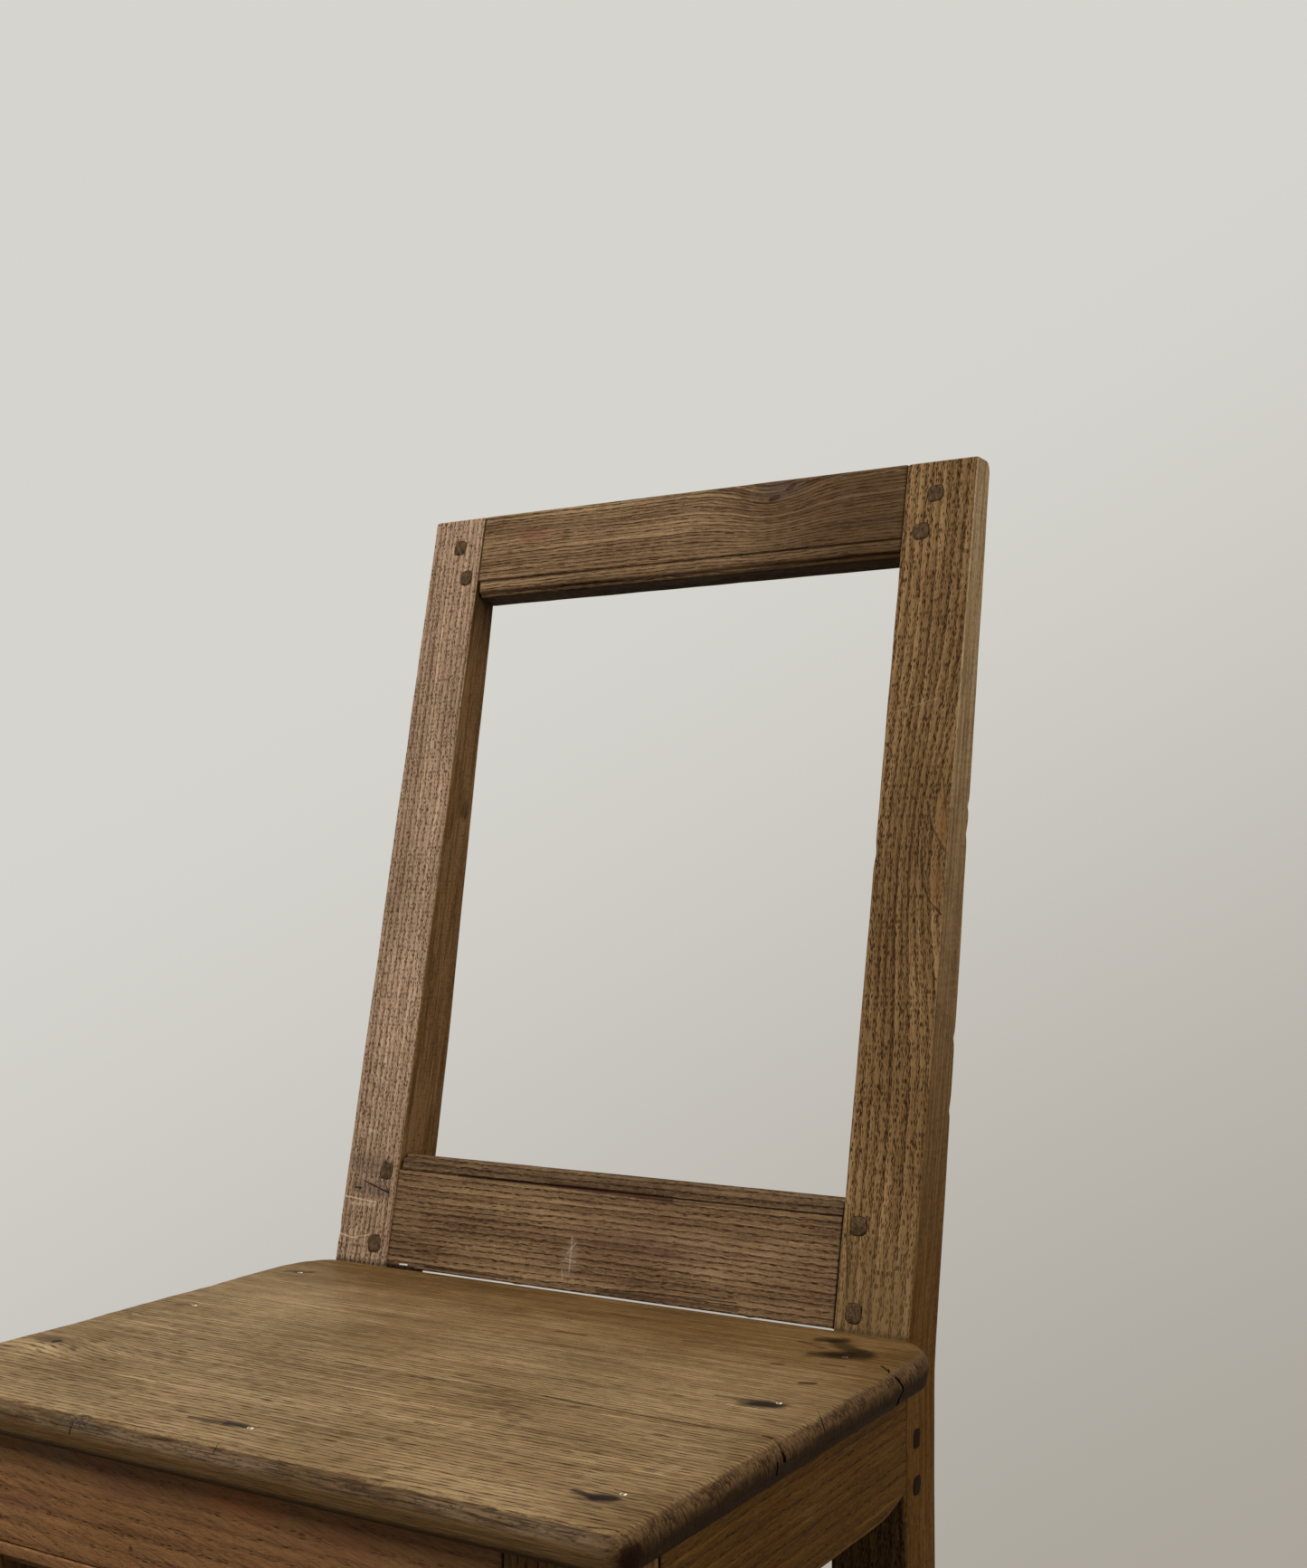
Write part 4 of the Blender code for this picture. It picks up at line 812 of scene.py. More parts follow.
def corner_wear(low, high, other_low, other_high, u, v):
    """1 on the arrises of a rectangular section, fading away from them."""
    away = min(abs(u - low), abs(high - u)) + min(abs(v - other_low), abs(other_high - v))
    return math.exp(-away / (2.2 * MM))


def steps_between(low, high, spacing, ends):
    """Levels from low to high, closer together at the ends."""
    start, stop = low + ends[-1], high - ends[-1]
    count = max(1, round((stop - start) / spacing))
    levels = [low + step for step in ends]
    levels += [start + (stop - start) * k / count for k in range(1, count)]
    return levels + [high - step for step in reversed(ends)]


def end_inset(end, least):
    """How far a section draws in near the end of a post or leg."""
    return 1.2 * MM * (1 - min(1, end / (1.2 * MM))) ** 2 + least * MM


# Rear posts

def post_front(z):
    return FACE + (max(z, KINK) - SEAT_TOP) * TAN


def post_rear(z):
    top_rear = post_front(BACK_TOP) + POST_TOP_DEPTH
    slope = (top_rear - FACE - POST_DEPTH) / (BACK_TOP - SEAT_TOP)
    line = FACE + POST_DEPTH + (z - SEAT_TOP) * slope
    bent = (POST_REAR_Y + line + math.sqrt((line - POST_REAR_Y) ** 2 + BEND ** 2 * 0.1)) / 2
    over = z - (BACK_TOP - POST_TOP_ROUND)
    if over > 0:
        bent -= POST_TOP_ROUND - math.sqrt(max(POST_TOP_ROUND ** 2 - over ** 2, 0))
    return bent


# Chips out of the arrises: a level and the mm above it, the corner, then length and size in mm
CHIPS = {
    "right": ((raised(0), 262, 0, 5, 2.6), (raised(0), 120, 1, 3, 1.5), (SEAT_TOP, 290, 2, 3, 2.2),
              (SEAT_TOP, 274, 2, 4, 2.4), (SEAT_TOP, 158, 2, 3, 2.2), (SEAT_TOP, 119, 2, 3, 2.2)),
    "left": ((raised(0), 180, 0, 4, 1.2), (raised(0), 20, 1, 4, 1.5)),
}
END_STEPS = (0, 0.3 * MM, 0.9 * MM, 1.8 * MM, 3.2 * MM, 5.0 * MM, 7.0 * MM)
RAIL_SPANS = ((SEAT_TOP, SEAT_TOP + LOWER_RAIL_HEIGHT), (BACK_TOP - TOP_RAIL_HEIGHT, BACK_TOP))


def make_post(side, sign):
    """One rear post: plumb below the seat, raked and tapered above it, every arris worn."""
    inner, outer = RIGHT_INNER if sign > 0 else LEFT_INNER, sign * HALF_BACK
    low_x, high_x = sorted((inner, outer))
    seed = 7.0 * sign
    rings = []
    for z in steps_between(0, BACK_TOP, 4 * MM, END_STEPS):
        front, rear = post_front(z), post_rear(z)
        if sign < 0:
            rear += 2.0 * MM * math.exp(-((z - SEAT_TOP - 130 * MM) / (110 * MM)) ** 2)
        radii = [(0.9 + 0.6 * ripple(z, corner, 0, 30 * MM, seed)) * MM for corner in range(4)]
        for base, up, at, length, size in CHIPS[side]:
            radii[at] += size * MM * math.exp(-((z - (base + up * MM) + 2 * MM) / (length * MM)) ** 2)
        if sign < 0:
            radii[0], radii[1] = radii[1], radii[0]
        inset = end_inset(min(z, BACK_TOP - z), 0.08)
        section = box_section(low_x + inset, front + inset, high_x - inset, rear - inset, radii, 4, (8, 7))

        def push(point, z=z):
            broad = 0.14 * ripple(point.x, point.y, z, 45 * MM, seed) * MM
            return min(broad + 0.07 * MM * ripple(point.x * 3, point.y * 3, z, 12 * MM, seed), 0)
        rings.append(ring_of(section, push, lambda spot, z=z: (spot.x, spot.y, z)))
    post = loft("post_" + side, rings, SHADERS[side + "_post"])

    def describe(place):
        z = place.z
        front, rear = post_front(z), post_rear(z)
        along = z if z < KINK else KINK + (z - KINK) / COS
        dirt_and_shade = 0.0
        # Painted shade: darker in the corners where the rails and the seat meet the post, and on its front
        # below the seat
        for low, high in RAIL_SPANS:
            if low < z < high:
                dirt_and_shade = max(dirt_and_shade, 0.75 * math.exp(-abs(place.x - inner) / (1.2 * MM)))
        dirt_and_shade = max(dirt_and_shade, 0.8 * math.exp(-abs(z - SEAT_TOP) / (2.0 * MM)) * (place.y < front + 6 * MM))
        if z < APRON_HIGH.z and place.y < front + 5 * MM and abs(place.x - outer) > 2 * MM:
            dirt_and_shade = max(dirt_and_shade, 0.60)
        worn = corner_wear(low_x, high_x, front, rear, place.x, place.y)
        return (along, place.x, place.y - front), worn, dirt_and_shade, 0.0

    carve(post, [peg_cutter(peg) for peg in PEGS if peg["side"] == side and peg["upright"] == "post"])
    dress(post, describe, "rear_post_" + side)


# Rails of the back, in the raked frame: x, depth behind the face, and height along it

def leaning(x, depth, up):
    return x, FACE + depth * COS + up * SIN, SEAT_TOP + up * COS - depth * SIN


def raked_place(point):
    """Depth and height of a world point in the raked frame."""
    y, z = point.y - FACE, point.z - SEAT_TOP
    return y * COS - z * SIN, y * SIN + z * COS


def post_depth_at(up):
    """Thickness of the back at a height along the raked face."""
    z = SEAT_TOP + up * COS
    return (post_rear(min(z, BACK_TOP - POST_TOP_ROUND)) - post_front(z)) * COS * 0.985


def moulded(edge, away, top, rear_edge, rear_moulding, wear, level_rise=0.0):
    """Corners of a rail's section as (depth, up): quirk, bead and fillet on the moulded arris."""
    quirk = top - MOULDING
    shape = (
        (0.15 * MM, 0.0, 0.7 * MM + wear * 0.5, 3, 9),
        (0.15 * MM, quirk - 0.7 * MM, 0.35 * MM, 2, 1),
        (1.6 * MM, quirk, 0.25 * MM, 2, 1),
        (0.3 * MM, quirk + 0.8 * MM, 0.8 * MM, 3, 3),
        (0.9 * MM, top - 3.6 * MM, 2.2 * MM, 4, 2),
        (3.4 * MM, top - 2.4 * MM, 0.5 * MM, 2, 1),
        (4.4 * MM, top, 1.5 * MM, 4, 4),
        (rear_moulding, top, 1.0 * MM + wear, 3, 9),
        (rear_edge, level_rise, 1.2 * MM + wear, 3, 4),
    )
    return [(depth, edge + away * up, *rest) for depth, up, *rest in shape]


def make_rail(name, node, section, span, place, describe, look, seed, nose=lambda into, spot: 0.0):
    """A rail lofted along X between two shoulders; nose pushes its left end back."""
    rings = []
    for x in steps_between(*span, 4 * MM, (0, 0.3 * MM, 0.8 * MM, 1.6 * MM, 2.6 * MM, 3.8 * MM)):
        shrink = 0.25 * MM * (1 - min(1, min(x - span[0], span[1] - x) / MM))
        ring = []
        for point, facing in rounded(section(0.5 * MM * ripple(x, 0, 0, 25 * MM, seed))):
            push = (0.10 * ripple(x, point.x * 2, point.y * 2, 40 * MM, seed) - 0.10) * MM
            push += 0.05 * MM * ripple(x, point.x * 4, point.y * 4, 10 * MM, seed)
            spot = point + facing * (min(push, 0) - shrink)
            spot.x += nose(x - span[0], spot)
            ring.append(place(x, spot.x, spot.y))
        rings.append(ring)
    dress(loft(name, rings, SHADERS[look]), describe, node)


def near_ends(x, span):
    """1 at a rail's shoulders, fading away from them."""
    return math.exp(-min(abs(x - span[0]), abs(x - span[1])) / (1.2 * MM))


def in_quirk(away, depth):
    return math.exp(-abs(away) / (0.7 * MM)) * math.exp(-depth / (4 * MM))


def rail_description(quirk, under=-1.0, bead_shade=0.0):
    """Grain runs along X; painted shade darkens the quirk, the shoulders, the underside and, when asked, the
    bead's top.
    """
    def describe(point):
        depth, up = raked_place(point)
        # Painted shade: the underside is dark, and the quirk and the shoulders darken
        grime_and_shade = 0.62
        if not (up < under + 1.5 * MM and depth > 3.5 * MM):
            # Painted shade: the bead's top is darkened, because it faces the light more than the faces below
            # it
            bead = bead_shade if up > quirk + 1.0 * MM else 0.0
            grime_and_shade = max(in_quirk(up - quirk, depth), 0.7 * near_ends(point.x, BACK_SPAN), bead)
        return (point.x, up, depth), 0.0, grime_and_shade, 0.0
    return describe


# Where the lower rail sits down on the seat instead of leaving a slit, from x to x in mm
SLIT_BREAKS = ((-160.0, -136.0), (-58.2, -55.0), (100.2, 103.4))


def leaning_lower(x, depth, up):
    """As leaning, with the lower edge let down where the slit is closed."""
    shut = 0.0
    for start, end in SLIT_BREAKS:
        inside = min(x / MM - start, end - x / MM)
        shut = max(shut, min(1.0, max(0.0, inside + 0.4)))
    near = max(0.0, 1.0 - max(0.0, up - LOWER_RAIL_LIFT) / (3 * MM))
    return leaning(x, depth, up - shut * near * (LOWER_RAIL_LIFT - 0.1 * MM))


def rounded_bead(first, last):
    """The bead's left end is rubbed round, so it stands clear of the post."""
    def nose(into, spot):
        if into >= 3.6 * MM or not first < spot.y < last or spot.x > 12 * MM:
            return 0.0
        share = 1 - into / (3.6 * MM)
        return 4.2 * MM * (1 - math.sqrt(1 - share * share))
    return nose


def make_back_rails():
    low, high = RAKED_TOP - TOP_RAIL_HEIGHT, LOWER_RAIL_LIFT + LOWER_RAIL_HEIGHT

    def top_section(wear):
        depth = POST_TOP_DEPTH * COS
        rise = -depth * TAN * 0.9
        return moulded(RAKED_TOP, -1, TOP_RAIL_HEIGHT, depth - 2 * MM, post_depth_at(low), wear, rise)

    def lower_section(wear):
        foot, head = post_depth_at(LOWER_RAIL_LIFT), post_depth_at(high)
        return moulded(LOWER_RAIL_LIFT, 1, LOWER_RAIL_HEIGHT, foot, head, wear)

    make_rail(
        "rail_top", "top_rail", top_section, BACK_SPAN, leaning, rail_description(low + MOULDING, low),
        "top_rail", 2.0, rounded_bead(low, low + 10.2 * MM))
    make_rail(
        "rail_lower", "lower_back_rail", lower_section, BACK_SPAN, leaning_lower,
        rail_description(high - MOULDING, -1.0, 0.56), "lower_rail", 5.0, rounded_bead(high - 10.2 * MM, 1.0))


# Legs, aprons and stretchers: plain boards along one axis

def make_leg(side, sign):
    """Front leg, square and a little worn, with a flat top under the seat."""
    low_x, high_x = sorted((sign * LEG_LOW.x, sign * LEG_HIGH.x))
    low_y, high_y = LEG_LOW.y, LEG_HIGH.y
    seed = 17.0 * sign
    rings = []
    for z in steps_between(0, FRAME_TOP, 5 * MM, END_STEPS[:5]):
        inset = end_inset(min(z, FRAME_TOP - z), 0.15)
        radii = [(1.7 + ripple(z, corner, 0, 30 * MM, seed)) * MM for corner in range(4)]
        section = box_section(low_x + inset, low_y + inset, high_x - inset, high_y - inset, radii, 4, (8, 8))

        def push(point, z=z):
            return min((0.12 * ripple(point.x, point.y, z, 45 * MM, seed) - 0.12) * MM, 0)
        rings.append(ring_of(section, push, lambda spot, z=z: (spot.x, spot.y, z)))
    leg = loft("leg_front_" + side, rings, SHADERS["leg"])

    def describe(place):
        worn = corner_wear(low_x, high_x, low_y, high_y, place.x, place.y)
        foot = 0.5 * math.exp(-place.z / (8 * MM))
        return (place.z, place.x - low_x + 30 * MM, place.y - low_y), worn, foot, 0.0

    carve(leg, [peg_cutter(peg) for peg in PEGS if peg["side"] == side and peg["upright"] == "leg"])
    dress(leg, describe, "front_leg_" + side)


def make_board(name, node, low, high, axis, look, seed, outer, hollow=lambda along: 0):
    """A plain board between two corners with its grain along X or Y; hollow eases its lower edge.

    outer is the side that faces away from the chair: 1 for the high side, -1 for the low side.
    """
    other = 1 - axis
    rings = []
    for along in steps_between(low[axis], high[axis], 4 * MM, (0, 0.4 * MM, 1.2 * MM, 3 * MM)):
        bottom, inset = low[2] + hollow(along), 0.15 * MM
        radii = [(1.3 + 0.8 * ripple(along, corner, 0, 28 * MM, seed)) * MM for corner in range(4)]
        section = box_section(
            low[other] + inset, bottom + inset, high[other] - inset, high[2] - inset, radii, 3, (5, 9))

        def push(point, along=along):
            return min((0.12 * ripple(along, point.x * 2, point.y * 2, 40 * MM, seed) - 0.12) * MM, 0)

        def place(spot, along=along):
            return (along, spot.x, spot.y) if axis == 0 else (spot.x, along, spot.y)
        rings.append(ring_of(section, push, place))
    face = high[other] if outer > 0 else low[other]

    def describe(place):
        worn = corner_wear(low[other], high[other], low[2], high[2], place[other], place.z)
        end = min(abs(place[axis] - low[axis]), abs(place[axis] - high[axis]))
        # Painted shade at the ends, in the corners where the board meets the legs and posts
        grime_and_shade = 0.7 * math.exp(-end / (1.5 * MM))
        return (place[axis], place.z, abs(place[other] - face)), worn, grime_and_shade, 0.0

    dress(loft(name, rings, SHADERS[look]), describe, node)


def apron_hollow(front, rear):
    """How far a side apron's lower edge rises near its two shoulders."""
    length, rise = 36 * MM, 7.6 * MM
    radius = (length * length + rise * rise) / (2 * rise)

    def lift(y):
        into = length - min(y - front, rear - y)
        return radius - math.sqrt(radius * radius - into * into) if into > 0 else 0.0
    return lift


def make_frame():
    """The aprons and the stretchers."""
    inner = LEG_LOW.x - GAP
    front, rear = LEG_HIGH.y + GAP, POST_LOW.y - GAP
    apron_low, apron_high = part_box("side_apron_right")
    for side, sign in SIDES:
        low_x, high_x = sorted((sign * apron_low.x, sign * apron_high.x))
        make_board(
            "apron_side_" + side, "side_apron_" + side,
            (low_x, front, apron_low.z), (high_x, rear, FRAME_TOP),
            1, "side_apron", 40.0 + sign, sign, apron_hollow(front, rear))
        low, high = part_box("side_stretcher_" + side)
        make_board(
            "stretcher_side_" + side, "side_stretcher_" + side,
            (low.x, front, low.z), (high.x, rear, high.z), 1, "stretcher", 50.0 + sign, sign)
    for name, node, span, look, seed, outer in (
            ("stretcher_front", "front_stretcher", (-inner, inner), "stretcher", 57.0, -1),
            ("stretcher_rear", "rear_stretcher", BACK_SPAN, "stretcher", 59.0, 1),
            ("apron_rear", "rear_apron", BACK_SPAN, "side_apron", 63.0, 1)):
        low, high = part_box(node)
        make_board(name, node, (span[0], low.y, low.z), (span[1], high.y, high.z), 0, look, seed, outer)
    make_front_apron((-inner, inner))


def make_front_apron(span):
    """The front apron, with the back rails' moulding along its lower arris."""
    height = FRAME_TOP - APRON_LOW.z
    depth = APRON_HIGH.y - APRON_LOW.y
    quirk = APRON_LOW.z + MOULDING

    def describe(point):
        inward = point.y - APRON_LOW.y
        # Painted shade: a thin dark band under the seat's edge, in the quirk and at the shoulders
        top = 0.35 * math.exp(-(FRAME_TOP - point.z) / (2.5 * MM))
        grime_and_shade = max(in_quirk(point.z - quirk, inward), 0.7 * near_ends(point.x, span), top)
        return (point.x, point.z, inward), 0.0, grime_and_shade, 0.0

    make_rail(
        "apron_front", "front_apron", lambda wear: moulded(FRAME_TOP, -1, height, depth, depth, wear),
        span, lambda x, inward, level: (x, APRON_LOW.y + inward, level), describe, "front_apron", 9.0)


# Pegs. Each is driven into an upright at a place, along a direction. Those of the back are
# given as x, height above the seat, rail and number.

PEG_WIDTH = 10.6 * MM
BACK_PEGS = {
    "left": ((-176.5, 474.0, "top_rail", 1), (-168.2, 452.0, "top_rail", 2),
             (-167.9, 57.8, "lower_rail", 1), (-170.2, 12.7, "lower_rail", 2)),
    "right": ((174.3, 474.3, "top_rail", 1), (167.1, 451.6, "top_rail", 2),
              (164.7, 55.5, "lower_rail", 1), (165.9, 9.8, "lower_rail", 2)),
}


def a_peg(node, side, upright, start, way, length):
    return {"node": node, "side": side, "upright": upright, "start": start, "way": way, "length": length}


def peg_from_node(node, side, upright, direction):
    """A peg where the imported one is."""
    low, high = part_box(node)
    way = Vector(direction)
    half = abs((high - low).dot(way)) / 2
    return a_peg(node, side, upright, (low + high) / 2 - way * half, way, 2 * half)


def list_pegs():
    pegs = []
    for side, places in BACK_PEGS.items():
        for x, height, rail, number in places:
            up = height * MM / COS
            way = Vector((0, COS, -SIN))
            start = Vector(leaning(x * MM, 0, up)) - way * 0.3 * MM
            length = post_depth_at(up) + 0.4 * MM
            pegs.append(a_peg(f"peg_{rail}_{side}_{number}", side, "post", start, way, length))
    for side, sign in SIDES:
        inward = (-sign, 0, 0)
        rows = []
        for number in (1, 2):
            rows += [
                (f"front_apron_{side}_{number}", "leg", (0, 1, 0)),
                (f"rear_apron_{side}_{number}", "post", (0, -1, 0)),
                (f"side_apron_{side}_front_{number}", "leg", inward),
                (f"side_apron_{side}_rear_{number}", "post", inward),
            ]
        place = 1 if sign < 0 else 2
        rows += [
            (f"side_stretcher_{side}_1", "leg", inward), (f"side_stretcher_{side}_2", "post", inward),
            (f"front_stretcher_{place}", "leg", (0, 1, 0)), (f"rear_stretcher_{place}", "post", (0, -1, 0)),
        ]
        pegs += [peg_from_node("peg_" + name, side, upright, way) for name, upright, way in rows]
    for number, peg in enumerate(pegs):
        draw = random.Random(100 + number)
        peg["turn"] = draw.uniform(-0.12, 0.12)
        peg["shape"] = [draw.uniform(0.93, 1.03) for _ in range(8)]
        peg["wide"] = PEG_WIDTH * draw.uniform(0.88, 0.96)
        peg["tall"] = PEG_WIDTH * draw.uniform(0.96, 1.06)
        peg["number"] = number
    return pegs


PEG_POINTS = 24


def peg_outline(peg, angle, share, spare):
    """Place on a hand-cut peg's outline, which is a rounded and uneven rectangle."""
    sector = angle / math.tau * 8
    low = int(sector) % 8
    blend = sector - int(sector)
    uneven = peg["shape"][low] * (1 - blend) + peg["shape"][(low + 1) % 8] * blend
    cosine, sine = math.cos(angle), math.sin(angle)
    square = (abs(cosine) ** 3.4 + abs(sine) ** 3.4) ** (-1 / 3.4)
    x = cosine * square * (peg["wide"] / 2 * uneven * share + spare)
    y = sine * square * (peg["tall"] / 2 * uneven * share + spare)
    turn = peg["turn"]
    return x * math.cos(turn) - y * math.sin(turn), x * math.sin(turn) + y * math.cos(turn)


def peg_frame(peg):
    """Axes of a peg: to its side, upwards, and along it."""
    side = peg["way"].cross(Vector((0, 0, 1))).normalized()
    return Matrix((side, side.cross(peg["way"]), peg["way"])).transposed()


def peg_rings(peg, levels, spare=0.0, shift=(0, 0)):
    """Rings along a peg: each level is a depth and a share of the full width."""
    axes = peg_frame(peg)
    rings = []
    for depth, share in levels:
        ring = []
        for k in range(PEG_POINTS):
            x, y = peg_outline(peg, math.tau * k / PEG_POINTS, share, spare)
            ring.append(peg["start"] + axes @ Vector((x + shift[0], y + shift[1], depth)))
        rings.append(ring)
    return rings


def peg_cutter(peg):
    """The bore of a peg, a hair wider than the peg all round."""
    over = 3 * MM
    rings = peg_rings(peg, ((-over, 1.0), (peg["length"] + over, 1.0)), 0.22 * MM, (0.16 * MM, -0.10 * MM))
    return loft("bore", rings, None)


def make_peg(peg):
    """A peg with a slightly domed and uneven head at both ends."""
    length = peg["length"]
    rings = peg_rings(peg, (
        (0.0, 0.30), (0.05 * MM, 0.62), (0.18 * MM, 0.86), (0.6 * MM, 0.985), (1.6 * MM, 1.0),
        (length / 2, 1.0), (length - 1.6 * MM, 1.0), (length - 0.4 * MM, 0.98),
        (length - 0.1 * MM, 0.8), (length, 0.4)))
    item = loft(peg["node"].replace("peg", "oak_peg"), rings, PEG_WOOD)
    back = peg_frame(peg).transposed()
    # Pegs driven in from the sides are darkened all over: painted shade in their recesses
    shift, grime_and_shade = peg["number"] * 0.013, abs(peg["way"].x)

    def describe(place):
        local = back @ (place - peg["start"])
        rim = max(abs(local.x) / peg["wide"], abs(local.y) / peg["tall"]) * 2
        return (local.z + shift, local.x, local.y), min(1.0, max(0.0, (rim - 0.74) * 3.6)), grime_and_shade, 0.0

    dress(item, describe, peg["node"])


# The seat board. Its nails are in mm from the middle and from the posts' face.

RUSTY_NAIL = (183.0, -44.6)
NAIL_PLACES = (
    (1.2, -289.6), (192.7, -277.3), (189.9, -133.5), RUSTY_NAIL,
    (-194.8, -38.8), (-189.8, -134.6), (-192.0, -277.5),
)
# A nail from its crown down: share of its reach, and mm below the crown
NAIL_SHAPE = ((0.15, 0.0), (0.45, 0.05), (0.75, 0.22), (1.0, 0.6), (0.95, 1.1), (0.4, 1.4), (0.35, 14.0))
NAIL_POINTS = 16


def board_half_width(y):
    """Left and right edge of the board at y, with its rounded corners."""
    pull = 0.0
    for radius, into in ((FRONT_CORNER, y - BOARD_FRONT), (REAR_CORNER, BOARD_REAR - y)):
        if into < radius:
            pull = radius - math.sqrt(max(radius * radius - (radius - max(into, 0)) ** 2, 0))
    return BOARD_LEFT + pull, BOARD_RIGHT - pull


def board_edge(x, y):
    """Distance in from the outline, and the way that the nearest edge faces."""
    across, sign = min((x - BOARD_LEFT, -1), (BOARD_RIGHT - x, 1))
    for radius, into, way in ((FRONT_CORNER, y - BOARD_FRONT, -1), (REAR_CORNER, BOARD_REAR - y, 1)):
        if across < radius and into < radius:
            out = Vector((sign * (radius - across), way * (radius - into)))
            return radius - out.length, out.normalized()
    distance, facing = min((across, (sign, 0)), (y - BOARD_FRONT, (0, -1)), (BOARD_REAR - y, (0, 1)))
    return distance, Vector(facing)


def board_drop(x, y):
    """How far the top lies below its flat level: rounded edges, planing marks and nail dips."""
    distance, facing = board_edge(x, y)
    rearward = max(0.0, facing.y) ** 2
    uneven = 1 + 0.28 * ripple(x, y, 0, 34 * MM, 3.0) + 0.12 * ripple(x, y, 0, 9 * MM, 6.0)
    wide = ROUND_WIDTH * (0.82 if abs(facing.x) > 0.7 else 1.0)
    wide = max(wide * uneven * (1 - rearward), 1.2 * MM)
    deep = ROUND_DROP * (1 - rearward) + 1.0 * MM * rearward
    drop = 0.0
    if distance < wide:
        share = 1 - max(distance, 0) / wide
        drop = deep * (1 - math.sqrt(1 - share * share))
    plane = 0.22 * (1 + ripple(x * 0.5, y, 0, 42 * MM, 1.0)) * MM
    plane += 0.10 * (1 + ripple(x * 0.25, y, 0, 9 * MM, 4.0)) * MM
    for nail_x, nail_y in NAIL_PLACES:
        away = math.hypot(x - nail_x * MM, y - FACE - nail_y * MM)
        plane += 0.8 * MM * math.exp(-(away / (3.6 * MM)) ** 2)
    return drop + plane * min(1.0, distance / (4 * MM) + 0.15)


# The board's grid: how fast its steps grow at the edges, and how many lie between them
EDGE_STEPS = [1 - math.sin(math.pi / 2 * (1 - k / 9)) for k in range(10)]
EDGE = 11 * MM
ROWS, COLUMNS = 140, 150
UNDER_EDGE = ((0.0, 11.0), (0.1, 12.6), (0.5, 14.2), (1.4, 15.8), (3.0, 17.0))


def board_rows():
    """Places along Y of the rows of the board's top."""
    rows = [BOARD_FRONT + EDGE * share for share in EDGE_STEPS]
    stop = BOARD_REAR - 2.4 * MM
    rows += [rows[-1] + (stop - rows[-1]) * k / ROWS for k in range(1, ROWS + 1)]
    return rows + [BOARD_REAR - 1.2 * MM, BOARD_REAR - 0.5 * MM, BOARD_REAR - 0.15 * MM, BOARD_REAR]


def board_row(y):
    """Places along X of one row of the board's top."""
    left, right = board_half_width(y)
    start, stop = left + EDGE, right - EDGE
    places = [left + EDGE * share for share in EDGE_STEPS]
    places += [start + (stop - start) * k / COLUMNS for k in range(1, COLUMNS)]
    return places + [right - EDGE * share for share in reversed(EDGE_STEPS)]


def make_seat():
    """The board: a fine top with rounded worn edges, closed below."""
    rows = board_rows()
    points = [Vector((x, y, SEAT_TOP - board_drop(x, y))) for y in rows for x in board_row(y)]
    wide, last = len(points) // len(rows), len(rows) - 1
    faces = []
    for j in range(last):
        for first in range(j * wide, j * wide + wide - 1):
            faces.append((first, first + 1, first + wide + 1, first + wide))
    rim = list(range(wide)) + [j * wide + wide - 1 for j in range(1, last + 1)]
    rim += [last * wide + k for k in range(wide - 2, -1, -1)] + [j * wide for j in range(last - 1, 0, -1)]
    facings = []
    for k in range(len(rim)):
        step = points[rim[(k + 1) % len(rim)]] - points[rim[k - 1]]
        facings.append(Vector((step.y, -step.x)).normalized())
    upper = rim
    for inset, drop in UNDER_EDGE:
        lower = []
        for index, facing in zip(rim, facings):
            base = points[index]
            rearward = max(0.0, facing.y) ** 2
            back = inset * MM * (1 - rearward) + drop * MM * TAN * rearward
            uneven = 0.35 * (1 + ripple(base.x, base.y, drop, 13 * MM, 8.0)) * MM * (1 - rearward)
            place = Vector((base.x, base.y)) - facing * (back + uneven)
            lower.append(len(points))
            points.append(Vector((place.x, place.y, SEAT_TOP - drop * MM)))
        for k in range(len(rim)):
            after = (k + 1) % len(rim)
            faces.append((upper[k], upper[after], lower[after], lower[k]))
        upper = lower
    faces.append(tuple(upper))
    seat = solid("seat_plank", points, faces, SHADERS["seat"])
    carve(seat, [crack_cutter(*crack) for crack in CRACKS])

    def describe(place):
        distance, facing = board_edge(place.x, place.y)
        edge = math.exp(-max(distance, 0) / (6 * MM))
        end = abs(facing.x) ** 2 * math.exp(-max(distance - 3 * MM, 0) / (3 * MM))
        # Painted shade along the back edge, in the corners beside the posts
        near_post = 0.55 * math.exp(-(BOARD_REAR - place.y) / (3.5 * MM)) * (abs(place.x) > 150 * MM)
        return (place.x, place.y - FACE, SEAT_TOP - place.z), edge, near_post, end

    dress(seat, describe, "seat_board")


